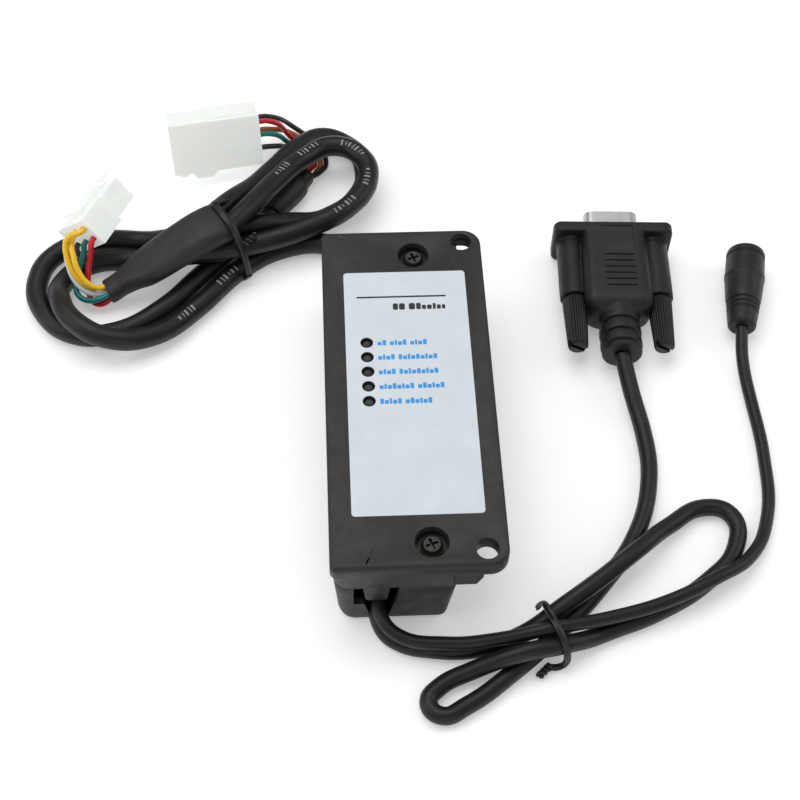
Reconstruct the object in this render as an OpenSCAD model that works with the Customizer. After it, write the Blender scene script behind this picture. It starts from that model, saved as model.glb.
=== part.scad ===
// Vending-bus to serial adapter: a small flanged plastic box with a wired-in bus cable,
// a DE-9 serial cable and a DC power cable, all in millimetres.
// The origin is under the centre of the box's top plate, on the table; +Y points to the bus cable.

/* [Case] */
// Width of the top plate, across the flange
plate_w = 45; // [45:0.5:50]
// Length of the top plate
plate_l = 108; // [108:1:120]
// Height of the case from the table to the top plate's face
case_h = 30; // [29:0.5:34]
// Wall thickness of the case
wall = 2; // [1.6:0.1:2.2]
// Radius of the two flange mounting holes
mount_hole_r = 2.9; // [2:0.1:3]
// Radius of the two cover-screw recesses
recess_r = 4.3; // [4:0.1:4.6]

/* [Status lights] */
// Number of status lights in the row
led_count = 5; // [3:1:5]
// Distance from one status light to the next
led_pitch = 4.8; // [4.4:0.1:5]
// Radius of a status light's window
led_window_r = 1.6; // [1.55:0.05:1.8]

/* [Cables] */
// Diameter of the two bus cables
bus_d = 6.4; // [5:0.1:6.4]
// Diameter of the serial cable
serial_d = 4.8; // [4:0.1:4.8]
// Diameter of the power cable
power_d = 3.6; // [3:0.1:3.6]
// Diameter of one insulated wire
wire_d = 1.7; // [1.2:0.1:1.8]

/* [Hidden] */

plastic = [0.13, 0.13, 0.14];
jacket = [0.07, 0.07, 0.075];
nylon = [0.93, 0.93, 0.9];
steel = [0.75, 0.75, 0.76];
gold = [0.85, 0.7, 0.35];

// --- case levels and outlines ---
plate_skin = 2.4;
plate_rim = 4.5;
front_lip = 0.8;
parting_z = case_h - 12.5;
skin_z = case_h - plate_skin;
rim_z = case_h - plate_rim;
floor_t = 2;
body_x0 = -plate_w / 2 + 0.8;
body_x1 = body_x0 + 31.6;
body_y = plate_l / 2 - 0.6;
body_r = 4;
lip_gap = 0.08;

screw_x = 3.25;
screw_ys = [-plate_l / 2 + 6.6, plate_l / 2 - 8.8];
mount_x = plate_w / 2 - 5.5;
mount_y = plate_l / 2 - 4.3;
led_x = -10.9;
led_y0 = 14.7;
slot_x0 = -16.6;
slot_x1 = -6;
slot_z = 9.2;
cable_x = -10;
serial_z = 4.2;
power_z = 8.55;
bus_z = 7;

// --- circuit board ---
board_z = 8;
board_t = 1.6;
board_top = board_z + board_t;
board_x0 = -18.2;
board_x1 = 6.1;
board_y = 36;
standoffs = [[-15.6, -33.2], [3.8, -33.2], [-15.6, 33.2], [3.8, 33.2]];

// --- free cable routes: each ring of a cable's tube lies on one of these points ---
bus_route = [
    [-10, 46, 7], [-10, 59, 6.4], [-12.5, 67, 4.4], [-21, 72.5, 3.2], [-34, 71.5, 3.2],
    [-46.5, 64, 3.2], [-60, 49, 3.4], [-73, 37.5, 5.6], [-84, 35, 8.4], [-93.5, 39.5, 10.1],
    [-98.7, 48, 9.3], [-99.3, 59.5, 4], [-93, 66.5, 3.2], [-80, 67.6, 3.8], [-67, 65.9, 7.4],
    [-55, 65.1, 9.9], [-40, 68.6, 9.8], [-25, 74.6, 9.7], [-14, 81.8, 9.7], [-7.9, 92, 9.7],
    [-9.5, 102.2, 9.7], [-18, 107, 9.9], [-27.5, 101, 11], [-36, 89.5, 13.6], [-44.4, 75.9, 16.5],
    [-50.6, 67.9, 16.9]];
branch_route = [
    [-54.8, 73.4, 16.6], [-49.5, 80.9, 14.6], [-42.8, 90.2, 10.6], [-36, 100, 8.6], [-29.5, 108.5, 7.6],
    [-21, 114.5, 5.8], [-12.5, 111.8, 3.6], [-8.5, 102, 3.2], [-11.5, 91, 3.2], [-21, 83, 3.2],
    [-32.5, 78.7, 6.4], [-41.2, 75.5, 9.7], [-53, 72.5, 9.8], [-65, 72.8, 7.6], [-78, 75, 3.8],
    [-91, 75.8, 3.2], [-102, 71.5, 3.2], [-107.2, 61.5, 3.2], [-105, 50, 3.2], [-95.7, 41.1, 3.2],
    [-83, 41, 3.2], [-70, 49, 3.2], [-58.5, 61.8, 3.2], [-47.5, 74, 3.2], [-37.8, 85.4, 3.4]];
serial_route = [
    [-10, -46, 4.65], [-10, -55.5, 3.7], [-6.5, -60.3, 2.4], [4, -63.6, 2.4], [16, -63.6, 2.4],
    [27, -60.3, 3.2], [38, -54.3, 6.8], [49, -46.8, 7.6], [59, -39, 7.4], [69.5, -29.8, 3.8],
    [80, -23.8, 2.4], [87, -26.4, 2.4], [86.8, -36, 2.4], [77, -46.8, 2.4], [63, -55, 2.4],
    [48, -60.8, 2.8], [36, -65.7, 6.8], [25, -68, 7.7], [13, -70.2, 3.2], [4.5, -74, 2.4],
    [1.5, -78.2, 2.4], [4.6, -81.8, 2.4], [11, -79.4, 2.4], [24, -70.3, 2.4], [37, -59.2, 2.4],
    [49, -46.8, 2.4], [60, -32, 2.4], [66, -15, 2.4], [66.6, 1, 2.6], [64.4, 14, 5.2],
    [63, 24.7, 7.6]];
power_route = [
    [-10, -46, 8.86], [-9.7, -56, 8], [-5.5, -61.3, 6.9], [7, -64, 6.75], [20, -63.6, 7.4],
    [34, -61.6, 8.5], [50, -58.5, 7.4], [65, -54.2, 6.9], [79, -47.8, 6.9], [90.2, -39.7, 3.8],
    [97, -27, 1.8], [99.5, -8, 1.8], [99.2, 12, 1.8], [98.6, 25, 3.9], [99.6, 34.5, 5.95]];

// --- pieces on the cables: where each one lies ---
de9_at = [64.9, 69.2, 7.6];
de9_turn = -2.5;
screw_pitch = 12.5;
hood_end = -44.5;
barrel_end = -24.4;
jack_at = [105.55, 62.5, 5.95];
jack_turn = -12;
jack_len = 28.6;
receptacle_at = [-88.9, 76.4, 15];
receptacle_turn = -26;
receptacle_tilt = 136;
plug_at = [-55.2, 110.9, 10.1];
plug_turn = 99;
plug_tilt = -65;
pitch = 4.2;

// --- small helpers ---
function unit(v) = v / norm(v);
function heading(p, i) = unit(p[min(i + 1, len(p) - 1)] - p[max(i - 1, 0)]);
function ring(p, i, rx, rz, n) =
    let (t = heading(p, i), s = unit(cross(t, [0, 0, 1])), u = cross(s, t))
    [for (j = [0:n - 1]) p[i] + rx * cos(360 * j / n) * s + rz * sin(360 * j / n) * u];

// A tube along a list of points, one ring on each point. radii holds one [side, up] pair a point.
module swept(points, radii, sides) {
    last = len(points) - 1;
    polyhedron(
        points = [for (i = [0:last]) each ring(points, i, radii[i][0], radii[i][1], sides)],
        faces = concat(
            [[for (j = [sides - 1:-1:0]) j]],
            [for (i = [0:last - 1], j = [0:sides - 1])
                let (k = (j + 1) % sides, a = i * sides, b = a + sides) [a + j, a + k, b + k, b + j]],
            [[for (j = [0:sides - 1]) last * sides + j]]));
}

module tube(points, diameter, sides) {
    swept(points, [for (p = points) [diameter / 2, diameter / 2]], sides);
}

// A flat outline with round corners: radius rl on the low-X side and rr on the high-X side.
module outline(x0, x1, y0, y1, rl, rr) {
    translate([x0 + rl, y0]) square([x1 - x0 - rl - rr, y1 - y0]);
    translate([x0, y0 + rl]) square([rl, y1 - y0 - 2 * rl]);
    translate([x1 - rr, y0 + rr]) square([rr, y1 - y0 - 2 * rr]);
    for (y = [y0 + rl, y1 - rl]) translate([x0 + rl, y]) circle(rl, $fn = 48);
    for (y = [y0 + rr, y1 - rr]) translate([x1 - rr, y]) circle(rr, $fn = 48);
}

module plate_outline(inset) {
    outline(-plate_w / 2 + inset, plate_w / 2 - inset, -plate_l / 2 - front_lip + inset,
        plate_l / 2 - inset,
        max(2 - inset, 0.5), 5 - inset);
}

module body_outline(inset) {
    outline(body_x0 + inset, body_x1 - inset, -body_y + inset, body_y - inset,
        max(body_r - inset, 0.8), max(body_r / 2 - inset, 0.6));
}

module box_at(x0, x1, y0, y1, z0, z1) {
    translate([x0, y0, z0]) cube([x1 - x0, y1 - y0, z1 - z0]);
}

module at_cover_screws() {
    for (y = screw_ys) translate([screw_x, y, 0]) children();
}

// --- case ---
recess_floor = case_h - 3.4;
tower_z = 19;

// A block under the flange beside the body, with its outer lower corner cut off
module flange_block(s) {
    translate([0, s * (plate_l / 2 - 2.2), 0]) rotate([90, 0, 0]) linear_extrude(3, center = true)
        polygon([[body_x1 - 1, 18.1], [14.6, 18.1], [16.2, 21.7], [16.2, skin_z], [body_x1 - 1, skin_z]]);
}

// A tongue that reaches down from the cover into a cable slot and holds the cable in
module tongue(s, half_w, low_z) {
    translate([0, s * (body_y - wall / 2 - 0.25), 0]) rotate([90, 0, 0])
        linear_extrude(wall - 0.3, center = true)
            polygon([[cable_x - 0.75 - half_w, low_z], [cable_x - 0.75 + half_w, low_z],
                [cable_x - 0.75 + half_w + 0.8, parting_z + 1],
                    [cable_x - 0.75 - half_w - 0.8, parting_z + 1]]);
}

module top_cover() {
    color(plastic) difference() {
        union() {
            translate([0, 0, skin_z]) linear_extrude(plate_skin) plate_outline(0);
            translate([0, 0, rim_z]) linear_extrude(plate_rim - 1) difference() {
                plate_outline(0);
                plate_outline(1.8);
            }
            translate([0, 0, parting_z]) linear_extrude(skin_z - parting_z + 1) difference() {
                body_outline(0);
                body_outline(wall);
            }
            at_cover_screws() translate([0, 0, tower_z])
                cylinder(r = 5.6, h = skin_z - tower_z + 1, $fn = 48);
            for (s = [-1, 1]) {
                translate([mount_x, s * mount_y, rim_z])
                    cylinder(r = 4.25, h = skin_z - rim_z + 1, $fn = 48);
                flange_block(s);
            }
            tongue(-1, 2.95, power_z + power_d / 2 - 0.15);
            tongue(1, 3.6, bus_z + bus_d / 2 + 0.1);
        }
        at_cover_screws() {
            translate([0, 0, recess_floor]) cylinder(r = recess_r, h = 7, $fn = 48);
            translate([0, 0, tower_z - 1]) cylinder(r = 1.8, h = 8, $fn = 32);
        }
        for (s = [-1, 1]) translate([mount_x, s * mount_y, 16])
            cylinder(r = mount_hole_r, h = 15, $fn = 48);
        for (i = [0:led_count - 1]) translate([led_x, led_y0 - i * led_pitch, skin_z - 1])
            cylinder(r = led_window_r, h = 4, $fn = 32);
    }
}

// The tray's outline at one level: the ends stand almost straight, the left wall leans in a little and the
// right wall leans in more; all of them turn into the floor with a round edge
module tray_level(z, left, right, ends) {
    translate([0, 0, z]) linear_extrude(0.01)
        outline(body_x0 + left, body_x1 - right, -body_y + ends, body_y - ends, max(body_r - ends, 0.8),
            max(body_r / 2 - ends / 4, 0.8));
}

module tray_shell() {
    difference() {
        hull() {
            tray_level(parting_z - 0.01, 0, 0, 0);
            tray_level(3.4, 1.1, 1.9, 0.2);
            tray_level(1.5, 1.6, 2.2, 0.35);
            tray_level(0.4, 2.6, 2.9, 0.9);
            tray_level(0, 3.6, 3.8, 1.9);
        }
        hull() {
            tray_level(parting_z + 0.01, wall, wall, wall);
            tray_level(4.4, wall + 1, wall + 1.8, wall + 0.3);
            tray_level(floor_t, wall + 2.4, wall + 3, wall + 1.6);
        }
    }
}

// A cable slot through an end wall: wide above for the cover's tongue, a round-bottomed notch below
module cable_slot(s, notch_r, notch_z, mouth) {
    translate([0, s * body_y, 0]) rotate([90, 0, 0]) linear_extrude(9, center = true) {
        polygon([[slot_x0, slot_z], [slot_x1, slot_z], [slot_x1 + 1.2, parting_z],
            [slot_x1 + 1.2, 2 * parting_z],
            [slot_x0, 2 * parting_z]]);
        translate([cable_x, notch_z]) circle(notch_r, $fn = 48);
        polygon([[cable_x - notch_r, notch_z], [cable_x + notch_r, notch_z],
            [cable_x + mouth, slot_z + 0.1], [cable_x - mouth, slot_z + 0.1]]);
    }
}

module base_tray() {
    color(plastic) difference() {
        union() {
            tray_shell();
            // the lip inside the cover's skirt, broken where the tongues and towers are
            translate([0, 0, parting_z - 3]) linear_extrude(4.6) difference() {
                body_outline(wall + lip_gap);
                body_outline(wall + 1);
            }
            at_cover_screws() translate([0, 0, floor_t - 0.5])
                cylinder(r = 3.6, h = tower_z - floor_t + 0.45, $fn = 48);
            for (p = standoffs) translate([p[0], p[1], floor_t - 0.5])
                cylinder(r = 2.2, h = board_z - floor_t + 0.5, $fn = 32);
        }
        at_cover_screws() translate([0, 0, 6]) cylinder(r = 1.5, h = 20, $fn = 32);
        at_cover_screws() translate([0, 0, tower_z - 0.05]) cylinder(r = 5.8, h = 5, $fn = 48);
        for (p = standoffs) translate([p[0], p[1], 3.4]) cylinder(r = 1.05, h = 8, $fn = 32);
        cable_slot(-1, serial_d / 2 + 0.3, serial_z, 3.9);
        cable_slot(1, bus_d / 2 + 0.3, bus_z, 3.9);
    }
}

label_t = 0.2;

module label() {
    color([0.88, 0.9, 0.92]) translate([0, 0, case_h]) linear_extrude(label_t) difference() {
        outline(-16.6, 17.2, -39.6, 39, 1, 1);
        for (i = [0:led_count - 1]) translate([led_x, led_y0 - i * led_pitch])
            circle(led_window_r + 0.15, $fn = 32);
    }
}

module led() {
    cylinder(r = 1.5, h = 3, $fn = 32);
    translate([0, 0, 3]) intersection() {
        sphere(r = 1.5, $fn = 32);
        cylinder(r = 2, h = 2, $fn = 32);
    }
    translate([0, 0, -0.8]) cylinder(r = 1.85, h = 0.9, $fn = 32);
    for (x = [-1, 1]) translate([x * 1.05 - 0.25, -0.25, board_top - 25.4])
        cube([0.5, 0.5, 24.7 - board_top]);
}

module status_leds() {
    color([0.22, 0.22, 0.23]) for (i = [0:led_count - 1])
        translate([led_x, led_y0 - i * led_pitch, case_h - 4.6]) led();
}

module cross_screw(head_r, head_h, shank_r, shank_h) {
    difference() {
        union() {
            cylinder(r = head_r, h = head_h * 0.55, $fn = 40);
            translate([0, 0, head_h * 0.5])
                cylinder(r1 = head_r, r2 = head_r * 0.72, h = head_h * 0.5, $fn = 40);
            translate([0, 0, -shank_h]) cylinder(r = shank_r, h = shank_h + 0.1, $fn = 32);
        }
        for (a = [0, 90]) rotate([0, 0, a + 20])
            translate([-head_r * 0.55, -head_r * 0.12, head_h * 0.45])
                cube([head_r * 1.1, head_r * 0.24, head_h]);
    }
}

module cover_screws() {
    color(steel) at_cover_screws() translate([0, 0, recess_floor + 0.02]) cross_screw(3, 2.3, 1.48, 13);
}

// --- electronics ---
module circuit_board() {
    color([0.05, 0.3, 0.16]) difference() {
        box_at(board_x0, board_x1, -board_y, board_y, board_z + 0.02, board_top);
        for (p = standoffs) translate([p[0], p[1], board_z - 1]) cylinder(r = 1.3, h = 4, $fn = 32);
    }
}

module board_screws() {
    color(steel) for (p = standoffs) translate([p[0], p[1], board_top + 0.02])
        cross_screw(2.1, 1.4, 1.02, 5);
}

// A chip body with a row of legs along both long sides
module chip(w, l, h, legs, leg_pitch, leg_w) {
    translate([-w / 2, -l / 2, 0.15]) cube([w, l, h]);
    for (s = [-1, 1], i = [0:legs - 1])
        translate([s * (w / 2 + 0.5) - 0.6, (i - (legs - 1) / 2) * leg_pitch - leg_w / 2, 0.02])
            cube([1.2, leg_w, 0.6]);
}

module microcontroller() {
    color([0.08, 0.08, 0.09]) translate([-1.5, 3, board_top]) {
        chip(10, 10, 1.2, 11, 0.8, 0.35);
        rotate([0, 0, 90]) chip(10, 10, 1.2, 11, 0.8, 0.35);
    }
}

module serial_driver_chip() {
    color([0.08, 0.08, 0.09]) translate([-1.5, -12.5, board_top]) rotate([0, 0, 90])
        chip(7.5, 10.3, 2.3, 8, 1.27, 0.42);
}

module optocouplers() {
    color([0.92, 0.92, 0.9]) for (i = [0:2])
        translate([-12.5 + i * 6, 24, board_top]) chip(4.6, 6.5, 3.4, 2, 2.54, 0.6);
}

module voltage_regulator() {
    color([0.1, 0.1, 0.11]) translate([1.8, -23.4, board_top]) {
        translate([-3.3, -3, 0.25]) cube([6.6, 6.1, 2.2]);
        translate([-2.7, 2.9, 0.02]) cube([5.4, 2.8, 0.6]);
        for (x = [-2.28, 2.28]) translate([x - 0.4, -5.4, 0.02]) cube([0.8, 2.6, 0.6]);
    }
}

module can(r, h) {
    cylinder(r = r, h = h, $fn = 40);
    translate([0, 0, h - 1.2]) cylinder(r = r + 0.15, h = 0.5, $fn = 40);
}

module capacitors() {
    color([0.12, 0.14, 0.3]) {
        translate([-8.5, -20.5, board_top + 0.02]) can(4, 11.5);
        translate([-14.2, -13.5, board_top + 0.02]) can(3.15, 11);
        translate([-15.4, 14, board_top + 0.02]) can(2.5, 7);
    }
}

module crystal() {
    color(steel) translate([-1.5, 13.8, board_top + 0.02]) {
        linear_extrude(0.5) outline(-5.7, 5.7, -2.4, 2.4, 2.3, 2.3);
        linear_extrude(3.4) outline(-5.1, 5.1, -1.8, 1.8, 1.75, 1.75);
    }
}

module chip_resistors() {
    color([0.1, 0.1, 0.1]) for (i = [0:4], s = [0, 1])
        translate([-16.6 + s * 2.4, -5.6 + i * 2.6, board_top + 0.02]) cube([1.8, 1.26, 0.55]);
}

// The three edge connectors: [centre x, pin count, side of the board, cable height]
edge_pitch = 2;
edge_sets = [[-6, 5, 1], [-9.2, 3, -1], [-1.6, 2, -1]];

module board_headers() {
    color([0.95, 0.94, 0.88]) for (e = edge_sets) difference() {
        w = (e[1] + 0.9) * edge_pitch;
        y0 = min(e[2] * 29, e[2] * 35.6);
        box_at(e[0] - w / 2, e[0] + w / 2, y0, y0 + 6.6, board_top + 0.02, board_top + 5.6);
        box_at(e[0] - w / 2 + 0.8, e[0] + w / 2 - 0.8, e[2] > 0 ? y0 + 2 : y0 - 1,
            e[2] > 0 ? y0 + 8 : y0 + 4.6,
            board_top + 0.8, board_top + 4.8);
    }
}

module board_plugs() {
    color([0.95, 0.94, 0.88]) for (e = edge_sets) {
        w = (e[1] + 0.9) * edge_pitch - 1.8;
        y0 = e[2] > 0 ? 31.2 : -39;
        box_at(e[0] - w / 2, e[0] + w / 2, y0, y0 + 7.8, board_top + 0.95, board_top + 4.65);
    }
}

// Wires from a cable's stripped end to a board plug's back: a fan of short tubes
module wire_fan(e, cable_z, spread) {
    for (i = [0:e[1] - 1]) {
        side = i - (e[1] - 1) / 2;
        plug_pt = [e[0] + side * edge_pitch, e[2] * 39.05, board_top + 2.8];
        end_pt = [cable_x + side * spread, e[2] * 45.95, cable_z];
        tube([plug_pt, plug_pt + [0, e[2] * 1.6, 0],
            [(plug_pt[0] + end_pt[0]) / 2, e[2] * 43, (plug_pt[2] + cable_z) / 2],
            end_pt - [0, e[2] * 1.4, 0], end_pt], 1.1, 6);
    }
}

module board_wires() {
    color([0.75, 0.2, 0.15]) {
        wire_fan(edge_sets[0], bus_z, 1.15);
        wire_fan(edge_sets[1], serial_z, 1.15);
        wire_fan(edge_sets[2], power_z, 1.15);
    }
}

// A clip over the two front cables, standing on the floor; its sides lean in above the thicker cable
module front_strain_tie() {
    color(plastic) translate([cable_x, -47.4, 0]) rotate([90, 0, 0])
    linear_extrude(2.4, center = true) {
        polygon([
            [-3.5, floor_t + 0.05], [-3.5, 8.2], [-2.9, 10.2], [-1.9, 11.8], [1.9, 11.8], [2.9, 10.2],
            [3.5, 8.2], [3.5, floor_t + 0.05], [2.45, floor_t + 0.05], [2.45, 7], [1.9, 9.2],
            [1.3, 10.75], [-1.3, 10.75], [-1.9, 9.2], [-2.45, 7], [-2.45, floor_t + 0.05]]);
        translate([3, 8.4]) square([2.2, 3]);
    }
}

module rear_strain_tie() {
    color(plastic) translate([0, 47.4, 0]) rotate([90, 0, 0])
    linear_extrude(2.4, center = true) difference() {
        union() {
            translate([cable_x, bus_z]) circle(bus_d / 2 + 1.1, $fn = 48);
            translate([cable_x + 2.6, bus_z]) square([3.4, 3.8]);
        }
        translate([cable_x, bus_z]) circle(bus_d / 2 + 0.05, $fn = 48);
    }
}

// --- bus cables ---
module bus_cable() {
    color(jacket) tube(bus_route, bus_d, 10);
}

module bus_branch_cable() {
    color(jacket) tube(branch_route, bus_d, 10);
}

splice_route = [
    [-52.5, 70.5, 16.7], [-57.5, 67.3, 16.6], [-63.5, 63.8, 15.4], [-70, 60.6, 12.9], [-76, 58.2, 10],
    [-79.6, 57, 8.2], [-82, 56.2, 6.8], [-86, 54.2, 5.4]];
splice_radii = [[6.9, 3.8], [7, 3.8], [6.9, 3.7], [6.6, 3.6], [6, 3.5], [4.4, 3.3], [3.7, 3.2], [3.5, 3]];
branch_sleeve_route = [[-37.9, 85.2, 4], [-36.5, 87.6, 4.2], [-30.4, 95.2, 4.2], [-29, 97.4, 3.8],
    [-26.8, 100.7, 3.4]];
branch_sleeve_radii = [[3.8, 3.6], [4.3, 4], [4.2, 4], [3, 3], [2.8, 2.8]];

module splice_sleeve() {
    color([0.12, 0.12, 0.12]) swept(splice_route, splice_radii, 12);
}

module branch_sleeve() {
    color([0.12, 0.12, 0.12]) swept(branch_sleeve_route, branch_sleeve_radii, 10);
}

// A twisted tie: a thin wire loop round a bundle, and its twisted tail
bus_tie_loop = [
    [-45.6, 61.6, 1.2], [-44.6, 60.2, 5], [-45.4, 61.4, 11], [-47.6, 64.4, 18.6], [-50, 68, 20.9],
    [-53, 72.8, 21],
    [-56.2, 77.2, 19]];
serial_tie_loop = [
    [31.2, -53.4, 4.4], [32.6, -54, 7.6], [33.4, -57.2, 9.1], [34.4, -61, 11], [36, -65, 10.1],
    [37.2, -68.3, 7.4], [37, -69.2, 3.8], [35.2, -69.2, 1.4], [32.4, -69, 1.3]];

module bus_twist_tie() {
    color(plastic) swept(bus_tie_loop, [for (p = bus_tie_loop) [1.1, 0.7]], 8);
}

module serial_twist_tie() {
    color(plastic) swept(serial_tie_loop, [for (p = serial_tie_loop) [1, 0.6]], 8);
}

// --- six-way bus connectors ---
module place_receptacle() {
    translate(receptacle_at) rotate([0, 0, receptacle_turn]) rotate([0, receptacle_tilt, 0]) children();
}

module place_plug() {
    translate(plug_at) rotate([0, 0, plug_turn]) rotate([0, plug_tilt, 0]) children();
}

module at_circuits() {
    for (i = [-1:1], k = [-0.5, 0.5]) translate([i * pitch, 0, k * pitch]) children();
}

receptacle_l = 19.6;
plug_l = 28;

module receptacle_housing() {
    color(nylon) place_receptacle() difference() {
        union() {
            box_at(-6.9, 6.9, -receptacle_l / 2, 0, -4.8, 4.8);
            at_circuits() box_at(-1.9, 1.9, -1, receptacle_l / 2, -1.9, 1.9);
        }
        at_circuits() rotate([90, 0, 0]) cylinder(r = 1.25, h = 40, center = true, $fn = 32);
    }
}

latch_y = -2.6;
latch_z = -5.6;

// The latch: a rocking arm on a round root, with a hook in front and a raised tail behind
module receptacle_latch() {
    color(nylon) place_receptacle() rotate([90, 0, 90]) {
        linear_extrude(5.2, center = true)
            polygon([[-3.3, -5.7], [8.2, -5.7], [8.5, -5], [9.9, -5], [11, -6], [9.5, -6.8], [-5.4, -6.8],
                [-9.4, -8.2],
                [-9.9, -7.4], [-6, -5.9]]);
        translate([latch_y, latch_z, 0]) cylinder(r = 0.7, h = 5.2, center = true, $fn = 32);
    }
}

module receptacle_contacts() {
    color(gold) place_receptacle() at_circuits() rotate([90, 0, 0]) difference() {
        translate([0, 0, -8.4]) cylinder(r = 1.2, h = 14.6, $fn = 24);
        translate([0, 0, -9]) cylinder(r = 0.7, h = 7, $fn = 24);
    }
}

module plug_housing() {
    color(nylon) place_plug() difference() {
        union() {
            box_at(-8.1, 8.1, -plug_l / 2, plug_l / 2, -6.1, 6.1);
            // the catch for the mating latch and the ribs beside it, on the underside
            translate([-8.1, 0, 0]) rotate([0, 0, 0]) linear_extrude(6, center = false)
                polygon([[0.1, 0], [-1.9, 2.4], [-1.9, 7], [0.1, 8.4]]);
            translate([-8.1, 0, 1]) linear_extrude(4.2)
                polygon([[0.1, 9.4], [-1.1, 10], [-1.1, 12], [0.1, 13.2]]);
            // the raised band round the back half
            box_at(7.9, 8.9, -12.6, 3, -5, 5);
        }
        at_circuits() {
            box_at(-1.95, 1.95, 3, 20, -1.95, 1.95);
            rotate([90, 0, 0]) cylinder(r = 1.25, h = 30, center = true, $fn = 32);
        }
    }
}

module plug_contacts() {
    color(gold) place_plug() at_circuits() rotate([90, 0, 0]) union() {
        translate([0, 0, -12]) cylinder(r = 0.57, h = 14, $fn = 24);
        translate([0, 0, -1]) cylinder(r = 1.2, h = 11, $fn = 24);
    }
}

// --- loose wires: from the splice to the receptacle, and from the branch sleeve to the plug ---
// Each route ends inside the connector's cavity, at a place given in the connector's own frame.
function turn_z(v, a) = [v[0] * cos(a) - v[1] * sin(a), v[0] * sin(a) + v[1] * cos(a), v[2]];
function turn_y(v, a) = [v[0] * cos(a) + v[2] * sin(a), v[1], v[2] * cos(a) - v[0] * sin(a)];
function in_receptacle(v) = receptacle_at + turn_z(turn_y(v, receptacle_tilt), receptacle_turn);
function in_plug(v) = plug_at + turn_z(turn_y(v, plug_tilt), plug_turn);
function into_receptacle(i, k) = [
    in_receptacle([i * pitch, -receptacle_l / 2 - 1.2, k * pitch]),
    in_receptacle([i * pitch, -receptacle_l / 2 + 2.4, k * pitch])];
function into_plug(i, k) = [
    in_plug([i * pitch, -plug_l / 2 - 3.4, k * pitch]), in_plug([i * pitch, -plug_l / 2 + 3, k * pitch])];

yellow_route = [
    [-86.1, 56.3, 6.2], [-89.3, 55.2, 6.4], [-92.4, 55.3, 8.2], [-95.2, 57.4, 10.4], [-96.9, 60.6, 13.2],
    [-97.3, 63.2, 16.4], [-95.9, 64.4, 19]];
second_yellow_route = [
    [-85.6, 55.1, 7.2], [-88.6, 54.2, 7.8], [-91.4, 54.6, 9.6], [-93.7, 57, 12], [-95, 60.4, 14.6],
    [-95.6, 64, 16.2]];
white_route = [
    [-85.4, 54.8, 5.3], [-88.9, 53.9, 5.1], [-92.2, 54.4, 6], [-95.4, 57, 8], [-97.1, 60.6, 10.8],
    [-97.8, 64.6, 12.8]];
teal_route = [
    [-84.7, 53.3, 6.1], [-88.4, 51.7, 5.4], [-91.8, 52, 4.6], [-94.8, 54.2, 4.9], [-95.2, 58, 6.1],
    [-94, 61.2, 9.5],
    [-92.6, 64, 12.2]];
red_route = [
    [-84.6, 53.1, 4.3], [-88, 51.6, 3.2], [-90.8, 53.2, 3], [-91.7, 56.2, 5], [-91.4, 59.6, 9.2],
    [-90.3, 62.6, 13.6]];
black_route = [
    [-85.6, 55.1, 3.6], [-89, 55.4, 2.6], [-92.3, 58.2, 3.8], [-92.4, 61.2, 6.6], [-93.9, 64.4, 9.4]];

module yellow_wires() {
    color([0.95, 0.75, 0.1]) {
        tube(concat(yellow_route, into_receptacle(-1, -0.5)), wire_d, 8);
        tube(concat(second_yellow_route, into_receptacle(0, -0.5)), wire_d, 8);
    }
}

module white_wires() {
    color([0.93, 0.92, 0.95]) tube(concat(white_route, into_receptacle(1, -0.5)), wire_d, 8);
}

module teal_wires() {
    color([0.05, 0.5, 0.48]) tube(concat(teal_route, into_receptacle(0, 0.5)), wire_d, 8);
}

module red_wires() {
    color([0.85, 0.1, 0.12]) tube(concat(red_route, into_receptacle(-1, 0.5)), wire_d, 8);
}

module black_wires() {
    color(jacket) tube(concat(black_route, into_receptacle(1, 0.5)), wire_d, 8);
}

// The plug's five wires leave the branch sleeve in a bunch, fan out flat under the cable
// and rise to the plug.
// side counts the wires from the innermost, -2, to the outermost, 2.
fan_step = 1.82;
bunch_side = [-1.43, -0.88, 0, 0.88, 1.43];
bunch_up = [0.46, -1.21, 1.5, -1.21, 0.46];
function plug_wire_route(side) =
    let (o = side * fan_step, b = bunch_side[side + 2], u = bunch_up[side + 2]) [
    [-27.4 + 0.83 * b, 99.8 - 0.56 * b, 3.5 + u],
    [-25.4 + 0.8 * o, 103.9 - 0.3 * o, 2.3 + 0.6 * u],
    [-24.2 + o, 108.4, 1.1],
    [-26.4 + 0.8 * o, 113.6 + 0.65 * o, 1.1],
    [-30.6 + 0.45 * o, 117 + 1.08 * o, 2.4 + 0.3 * (1 - side % 2)]];

module plug_wire(side, i, k) {
    tube(concat(plug_wire_route(side), into_plug(i, k)), wire_d, 8);
}

module plug_red_wire() {
    color([0.85, 0.1, 0.12]) plug_wire(0, 1, 0.5);
}

module plug_teal_wire() {
    color([0.05, 0.5, 0.48]) plug_wire(-1, 0, 0.5);
}

module plug_black_wires() {
    color(jacket) {
        plug_wire(-2, -1, 0.5);
        plug_wire(2, 1, -0.5);
    }
}

module plug_orange_wire() {
    color([0.75, 0.4, 0.12]) plug_wire(1, 0, -0.5);
}

// --- DE-9 plug ---
module place_de9() {
    translate(de9_at) rotate([0, 0, de9_turn]) children();
}

// A trapezoid with rounded corners, as a list of points: the shape of a D connector's shell
function d_corner(cx, cz, r, a0, a1) =
    [for (k = [0:4]) let (a = a0 + (a1 - a0) * k / 4) [cx + r * cos(a), cz + r * sin(a)]];
function d_points(w, h, r) =
    let (top = w / 2 - r, low = w / 2 - r - h * tan(10) * 0.9, z = h / 2 - r)
    concat(d_corner(top, z, r, 0, 90), d_corner(-top, z, r, 90, 180),
        d_corner(-low, -z, r, 190, 270), d_corner(low, -z, r, 270, 350));

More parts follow.
